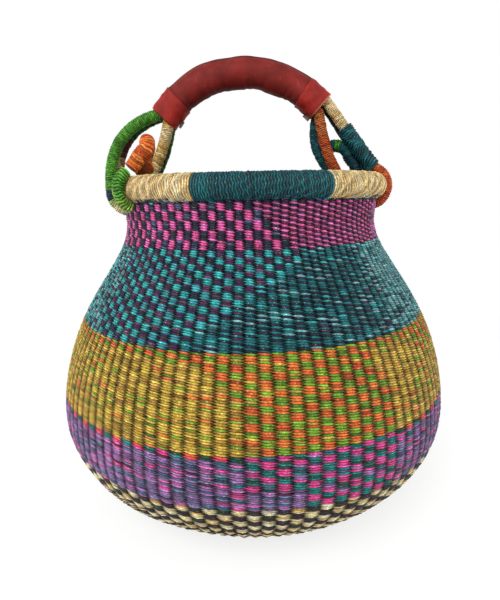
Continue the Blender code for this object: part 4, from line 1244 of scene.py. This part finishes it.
def knot_mesh(name, finish, inside):
    """The small knot where the straws start, filling the middle of the floor."""
    height = WALL_THICKNESS - 0.0006 if inside else 0.0
    thick = 0.0012
    turn = math.tau * np.arange(16) / 16
    rings = []
    for radius, up in ((0.0008, 0.6), (0.0024, 0.9), (0.0036, 0.5), (0.0036, -0.5), (0.0008, -0.6)):
        rings.append(np.stack([radius * np.cos(turn), radius * np.sin(turn),
                               np.full(16, height + thick / 2 + up * thick / 2)], axis=-1))
    verts = np.concatenate(rings)
    base = (np.arange(len(rings) - 1) * 16)[:, None]
    here = np.arange(16)[None, :]
    after = (here + 1) % 16
    faces = np.stack([base + here, base + 16 + here, base + 16 + after, base + after],
                     axis=-1).reshape(-1, 4)
    piece = mesh_piece(name, verts, faces, finish)
    give_dye(piece, np.tile(np.array(GOLD_STRAW), (len(faces), 1)))
    give_number(piece, "lift", np.ones(len(verts)))
    give_straw_map(piece, verts[:, :2] * 1000)
    close_ends(piece)
    return piece


class BASKET_OT_wind_rim(bpy.types.Operator):
    """Winds the four coloured stretches of the rim"""
    bl_idname = "basket.wind_rim"
    bl_label = "Wind Rim"

    def execute(self, context):
        pitch = context.scene.basket_ropes.rim_pitch
        for name, start, end, colours, slot, lean, waves, groove, radii in RIM_STRETCHES:
            finish = straw_finish(name + "_straw", 0.16, groove)
            piece = wind(name + "_winding", arc_route(start, end), radii, pitch,
                         ((0, colours),), finish, 54, lean, waves)
            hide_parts(name)
            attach(piece, "basket")
        return {"FINISHED"}


class BASKET_OT_wind_ropes(bpy.types.Operator):
    """Winds the four handle ropes: the turns under the rim and the legs up to the grip"""
    bl_idname = "basket.wind_ropes"
    bl_label = "Wind Handle Ropes"

    def execute(self, context):
        pitch = context.scene.basket_ropes.rope_pitch
        for name, side_name, row, outside, pulls, stops, slot in LEGS:
            finish = straw_finish(name + "_straw", 0.22, 0.40 if "straw" in slot else 0.12)
            piece = wind(name + "_winding", leg_route(side_name, row, outside, *pulls),
                         ROPES[side_name][1], pitch, stops, finish)
            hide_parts(name)
            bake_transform(piece)
        for name, side_name, row, stops in TURNS:
            finish = straw_finish(name + "_straw", 0.18, 0.26)
            piece = wind(name + "_winding", turn_route(side_name, row),
                         ROPES[side_name][1] + 0.0001, pitch, stops, finish)
            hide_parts(name)
            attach(piece, "basket")
            "straw_wrapping" if side_name == "left" else "orange_wrapping"
        return {"FINISHED"}


class BASKET_OT_wind_arches(bpy.types.Operator):
    """Winds the two small tying arches, the left one's ends and the right rope's binding"""
    bl_idname = "basket.wind_arches"
    bl_label = "Wind Arches"

    def execute(self, context):
        pitch = context.scene.basket_ropes.rope_pitch
        arch = wind("left_arch_winding", left_arch_route(), LEFT_ARCH_RADII, 0.0017,
                    ((0, VIVID_ORANGE_WINDING),), straw_finish("left_arch_straw", 0.12, 0.26))
        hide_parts("left_arch")
        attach(arch, "basket")
        for name, angles in LEFT_ARCH_ENDS:
            end = wind(name + "_winding", left_end_route(angles), ARCH_END_RADIUS + 0.0003,
                       0.0023, ((0, LIME_WINDING), (0.30, GREEN_WINDING)),
                       straw_finish(name + "_straw", 0.20, 0.14), relief=0.0010)
            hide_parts(name)
            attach(end, "basket")
        arch = wind("right_arch_winding", right_arch_route(), ARCH_RADIUS + 0.0011, pitch,
                    ((0, SHADED_TEAL_WINDING), (0.42, TEAL_WINDING), (0.72, GREEN_WINDING),
                     (0.82, TEAL_WINDING)),
                    straw_finish("right_arch_straw", 0.14, 0.16))
        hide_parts("right_arch")
        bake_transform(arch)
        bound = leg_route("right", "front", True, *RIGHT_OUTER, count=41)[4:29]
        binding = wind("right_binding_winding", bound, BINDING_RADIUS + 0.0003, 0.0023,
                       ((0, TEAL_WINDING),), straw_finish("right_binding_straw", 0.14, 0.12),
                       28, 1.2, (4, 0.42), 0.0010)
        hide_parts("right_binding")
        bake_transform(binding)
        return {"FINISHED"}


class BASKET_OT_cover_grip(bpy.types.Operator):
    """Covers the grip: the leather sleeve, the flared end covers and their laces"""
    bl_idname = "basket.cover_grip"
    bl_label = "Cover Grip"

    def execute(self, context):
        colours = context.scene.basket_leather
        sleeve = leather_tube("sleeve_leather", grip_route(CUFF_LENGTH - 0.002, -CUFF_LENGTH + 0.002,
                                                           60),
                              [GRIP_RADIUS] * 3, 56, sleeve_wrinkle,
                              leather_finish("sleeve_leather", tuple(colours.sleeve),
                                             tuple(colours.edge)), 6)
        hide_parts("leather_sleeve")
        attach(sleeve, "handle")
        for side_name, radii, edge, slant, marks in (
                ("left", CUFF_RADII[::-1], tuple(colours.edge), 0.005, (0.8, 0.6)),
                ("right", CUFF_RADII, tuple(colours.raw_edge), 0.0, (0.0, 1.2))):
            cuff = leather_tube(side_name + "_cuff_leather", cuff_route(side_name), radii, 48,
                                cuff_wrinkle,
                                leather_finish(side_name + "_cuff_leather", tuple(colours.cuff),
                                               edge), 8, slant, marks)
            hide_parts(side_name + "_cuff")
            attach(cuff, "handle")
        for side, side_name in ((-1, "left"), (1, "right")):
            centre, axis, outer = mouth(side)
            seat = centre - outer * (CUFF_RADII[1] + 0.0014)
            route = [seat - axis * (0.007 * (1 - share)) for share in even_shares(6)]
            lace = wind(side_name + "_lace_end", route, 0.0014, 0.0009,
                        ((0, ((dye(150, 128, 120), 3), (dye(120, 96, 92), 2))),),
                        straw_finish(side_name + "_lace_cord", 0.2, 0.4), 10, relief=0.0002)
            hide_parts(side_name + "_lace")
            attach(lace, "handle")
        return {"FINISHED"}


def cuff_route(side_name):
    total = route_length(bezier(*grip_handles(), even_shares(300)))
    if side_name == "left":
        return grip_route(0, CUFF_LENGTH, 24)
    return grip_route(total - CUFF_LENGTH, total, 24)


def stake_rods(name, finish):
    """The upright straws in the wall, one behind every second column of the weave."""
    columns = bpy.context.scene.basket_weave.columns
    short = notch_columns(columns)
    which = np.arange(0, columns, 2)
    tops = np.array([travel_at(short[column]) - 0.003 if column in short else travel_at(LIP_HEIGHT) - 0.001
                     for column in which])
    travel = 0.012 + (tops[:, None] - 0.012) * np.linspace(0, 1, 90)[None, :]
    radius, height, out_r, out_z = profile_at(travel)
    turn = (which[:, None] + 0.5) / columns * math.tau + VALLEY_TURN - math.pi / 2
    out = np.stack([np.cos(turn), np.sin(turn), np.zeros_like(turn)], axis=-1)
    side = np.stack([-out[..., 1], out[..., 0], out[..., 2]], axis=-1)
    up = np.array([0.0, 0.0, 1.0])
    away = out * out_r[..., None] + up * out_z[..., None]
    centre = out * radius[..., None] + up * height[..., None] - away * (WALL_THICKNESS / 2)
    angle = math.tau * np.arange(6) / 6
    verts = (centre[:, :, None] + 0.0006 * (side[:, :, None] * np.cos(angle)[:, None]
                                            + away[:, :, None] * np.sin(angle)[:, None]))
    base = (np.arange(len(which)) * 90)[:, None, None] + np.arange(89)[None, :, None]
    here = np.arange(6)[None, None, :]
    after = (here + 1) % 6
    faces = np.stack([base * 6 + here, base * 6 + after, base * 6 + 6 + after,
                      base * 6 + 6 + here], axis=-1).reshape(-1, 4)
    piece = mesh_piece(name, verts.reshape(-1, 3), faces, finish)
    close_ends(piece)
    return piece


class BASKET_OT_finish_inside(bpy.types.Operator):
    """Sets the upright straws, and gives the other hidden pieces their grass"""
    bl_idname = "basket.finish_inside"
    bl_label = "Finish Hidden Straw"

    def execute(self, context):
        stakes = stake_rods("stake_straws", plain_straw_finish("stake_straw", GOLD_STRAW))
        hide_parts("stakes")
        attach(stakes, "basket")
        hidden = {"rim_core": GOLD_STRAW, "front_upper_strand": STRAW,
                  "front_lower_strand": GOLD_STRAW, "back_upper_strand": STRAW,
                  "back_lower_strand": GOLD_STRAW}
        for name, colour in hidden.items():
            node = bpy.data.objects[name]
            finish = plain_straw_finish(name + "_straw", colour)
            for slot in node.material_slots:
                slot.material = finish
        return {"FINISHED"}


class BASKET_OT_set_stage(bpy.types.Operator):
    """Sets the pale floor, the soft lamps and the camera"""
    bl_idname = "basket.set_stage"
    bl_label = "Set Stage"

    def execute(self, context):
        settings = context.scene.basket_stage
        deselect()
        bpy.ops.mesh.primitive_plane_add(size=12, location=(0, 0, 0))
        floor = context.view_layer.objects.active
        floor.name = "pale_floor"
        floor.data.materials.append(floor_finish(tuple(settings.background)))
        world = bpy.data.worlds.new("soft_daylight")
        context.scene.world = world
        world.use_nodes = True
        tree = world.node_tree
        sky = tree.nodes["Background"]
        sky.inputs["Strength"].default_value = settings.daylight
        clear = tree.nodes.new("ShaderNodeBackground")
        clear.inputs["Color"].default_value = (*settings.background, 1)
        sky.inputs["Color"].default_value = (1, 1, 1, 1)
        ray = tree.nodes.new("ShaderNodeLightPath")
        pick = tree.nodes.new("ShaderNodeMixShader")
        tree.links.new(ray.outputs["Is Camera Ray"], pick.inputs[0])
        tree.links.new(sky.outputs[0], pick.inputs[1])
        tree.links.new(clear.outputs[0], pick.inputs[2])
        tree.links.new(pick.outputs[0], tree.nodes["World Output"].inputs["Surface"])
        for name, place, size, power in (
                ("key_lamp", (-0.5, -1.5, 1.5), 1.2, settings.key_power),
                ("left_lamp", (-1.5, -0.3, 0.8), 1.0, settings.side_power),
                ("right_lamp", (1.5, -0.3, 0.8), 1.0, settings.side_power)):
            light = bpy.data.lights.new(name, "AREA")
            light.shape = "DISK"
            light.size = size
            light.energy = power
            lamp = bpy.data.objects.new(name, light)
            context.scene.collection.objects.link(lamp)
            lamp.location = place
            aim = Vector((0, 0, 0.2)) - Vector(place)
            lamp.rotation_euler = aim.to_track_quat("-Z", "Y").to_euler()
        data = bpy.data.cameras.new("photo_camera")
        data.sensor_width = 36
        data.lens = 27.55
        data.shift_x = -0.00318
        camera = bpy.data.objects.new("photo_camera", data)
        context.scene.collection.objects.link(camera)
        camera.matrix_world = (Matrix.Translation((0, -0.4591, 0.285))
                               @ Matrix.Rotation(math.radians(77.542), 4, "X")
                               @ Matrix.Rotation(math.radians(-1.277), 4, "Z"))
        context.scene.camera = camera
        context.scene.view_settings.view_transform = "Standard"
        return {"FINISHED"}


def floor_finish(colour):
    """A pale floor that keeps the object's shadow, and runs out to the background's colour."""
    finish = Finish("pale_floor")
    place = finish.place()
    distance = finish.node("ShaderNodeVectorMath", {"operation": "LENGTH"}, {0: place}, "Value")
    far = finish.between(distance, 0.32, 0.75)
    finish.principled(Base_Color=(*colour, 1), Roughness=0.9)
    finish.shader.inputs["Specular IOR Level"].default_value = 0
    glow = finish.node("ShaderNodeEmission", values={"Color": (*colour, 1)})
    ray = finish.node("ShaderNodeLightPath", output="Is Camera Ray")
    shader = Value(finish, finish.shader.outputs[0])
    mixed = finish.node("ShaderNodeMixShader",
                        values={0: (0.76 + 0.24 * far) * ray, 1: shader, 2: glow})
    finish.feed(finish.tree.nodes["Material Output"].inputs["Surface"], mixed)
    return finish.material


class BASKET_PT_pieces(bpy.types.Panel):
    """The basket's pieces, in the order that they are made"""
    bl_label = "Bolga Basket"
    bl_idname = "BASKET_PT_pieces"
    bl_space_type = "VIEW_3D"
    bl_region_type = "UI"
    bl_category = "Basket"

    def draw(self, context):
        for title, group, operators in (
                ("Weave", context.scene.basket_weave, ("basket.weave",)),
                ("Ropes", context.scene.basket_ropes,
                 ("basket.wind_rim", "basket.wind_ropes", "basket.wind_arches")),
                ("Leather", context.scene.basket_leather, ("basket.cover_grip",)),
                ("Inside", None, ("basket.finish_inside",)),
                ("Stage", context.scene.basket_stage, ("basket.set_stage",))):
            box = self.layout.box()
            box.label(text=title)
            if group:
                for name in group.__annotations__:
                    box.prop(group, name)
            for operator in operators:
                box.operator(operator)


SETTINGS = {"basket_weave": WeaveSettings, "basket_ropes": RopeSettings,
            "basket_leather": LeatherSettings, "basket_stage": StageSettings}
CLASSES = (*SETTINGS.values(), BASKET_OT_weave, BASKET_OT_wind_rim, BASKET_OT_wind_ropes,
           BASKET_OT_wind_arches, BASKET_OT_cover_grip, BASKET_OT_finish_inside,
           BASKET_OT_set_stage, BASKET_PT_pieces)


def register():
    for kind in CLASSES:
        bpy.utils.register_class(kind)
    for name, kind in SETTINGS.items():
        setattr(bpy.types.Scene, name, bpy.props.PointerProperty(type=kind))


def unregister():
    for name in SETTINGS:
        delattr(bpy.types.Scene, name)
    for kind in reversed(CLASSES):
        bpy.utils.unregister_class(kind)


def main():
    register()
    deselect()
    bpy.ops.basket.weave()
    bpy.ops.basket.wind_rim()
    bpy.ops.basket.wind_ropes()
    bpy.ops.basket.wind_arches()
    bpy.ops.basket.cover_grip()
    bpy.ops.basket.finish_inside()
    bpy.ops.basket.set_stage()


if __name__ == "__main__":
    main()
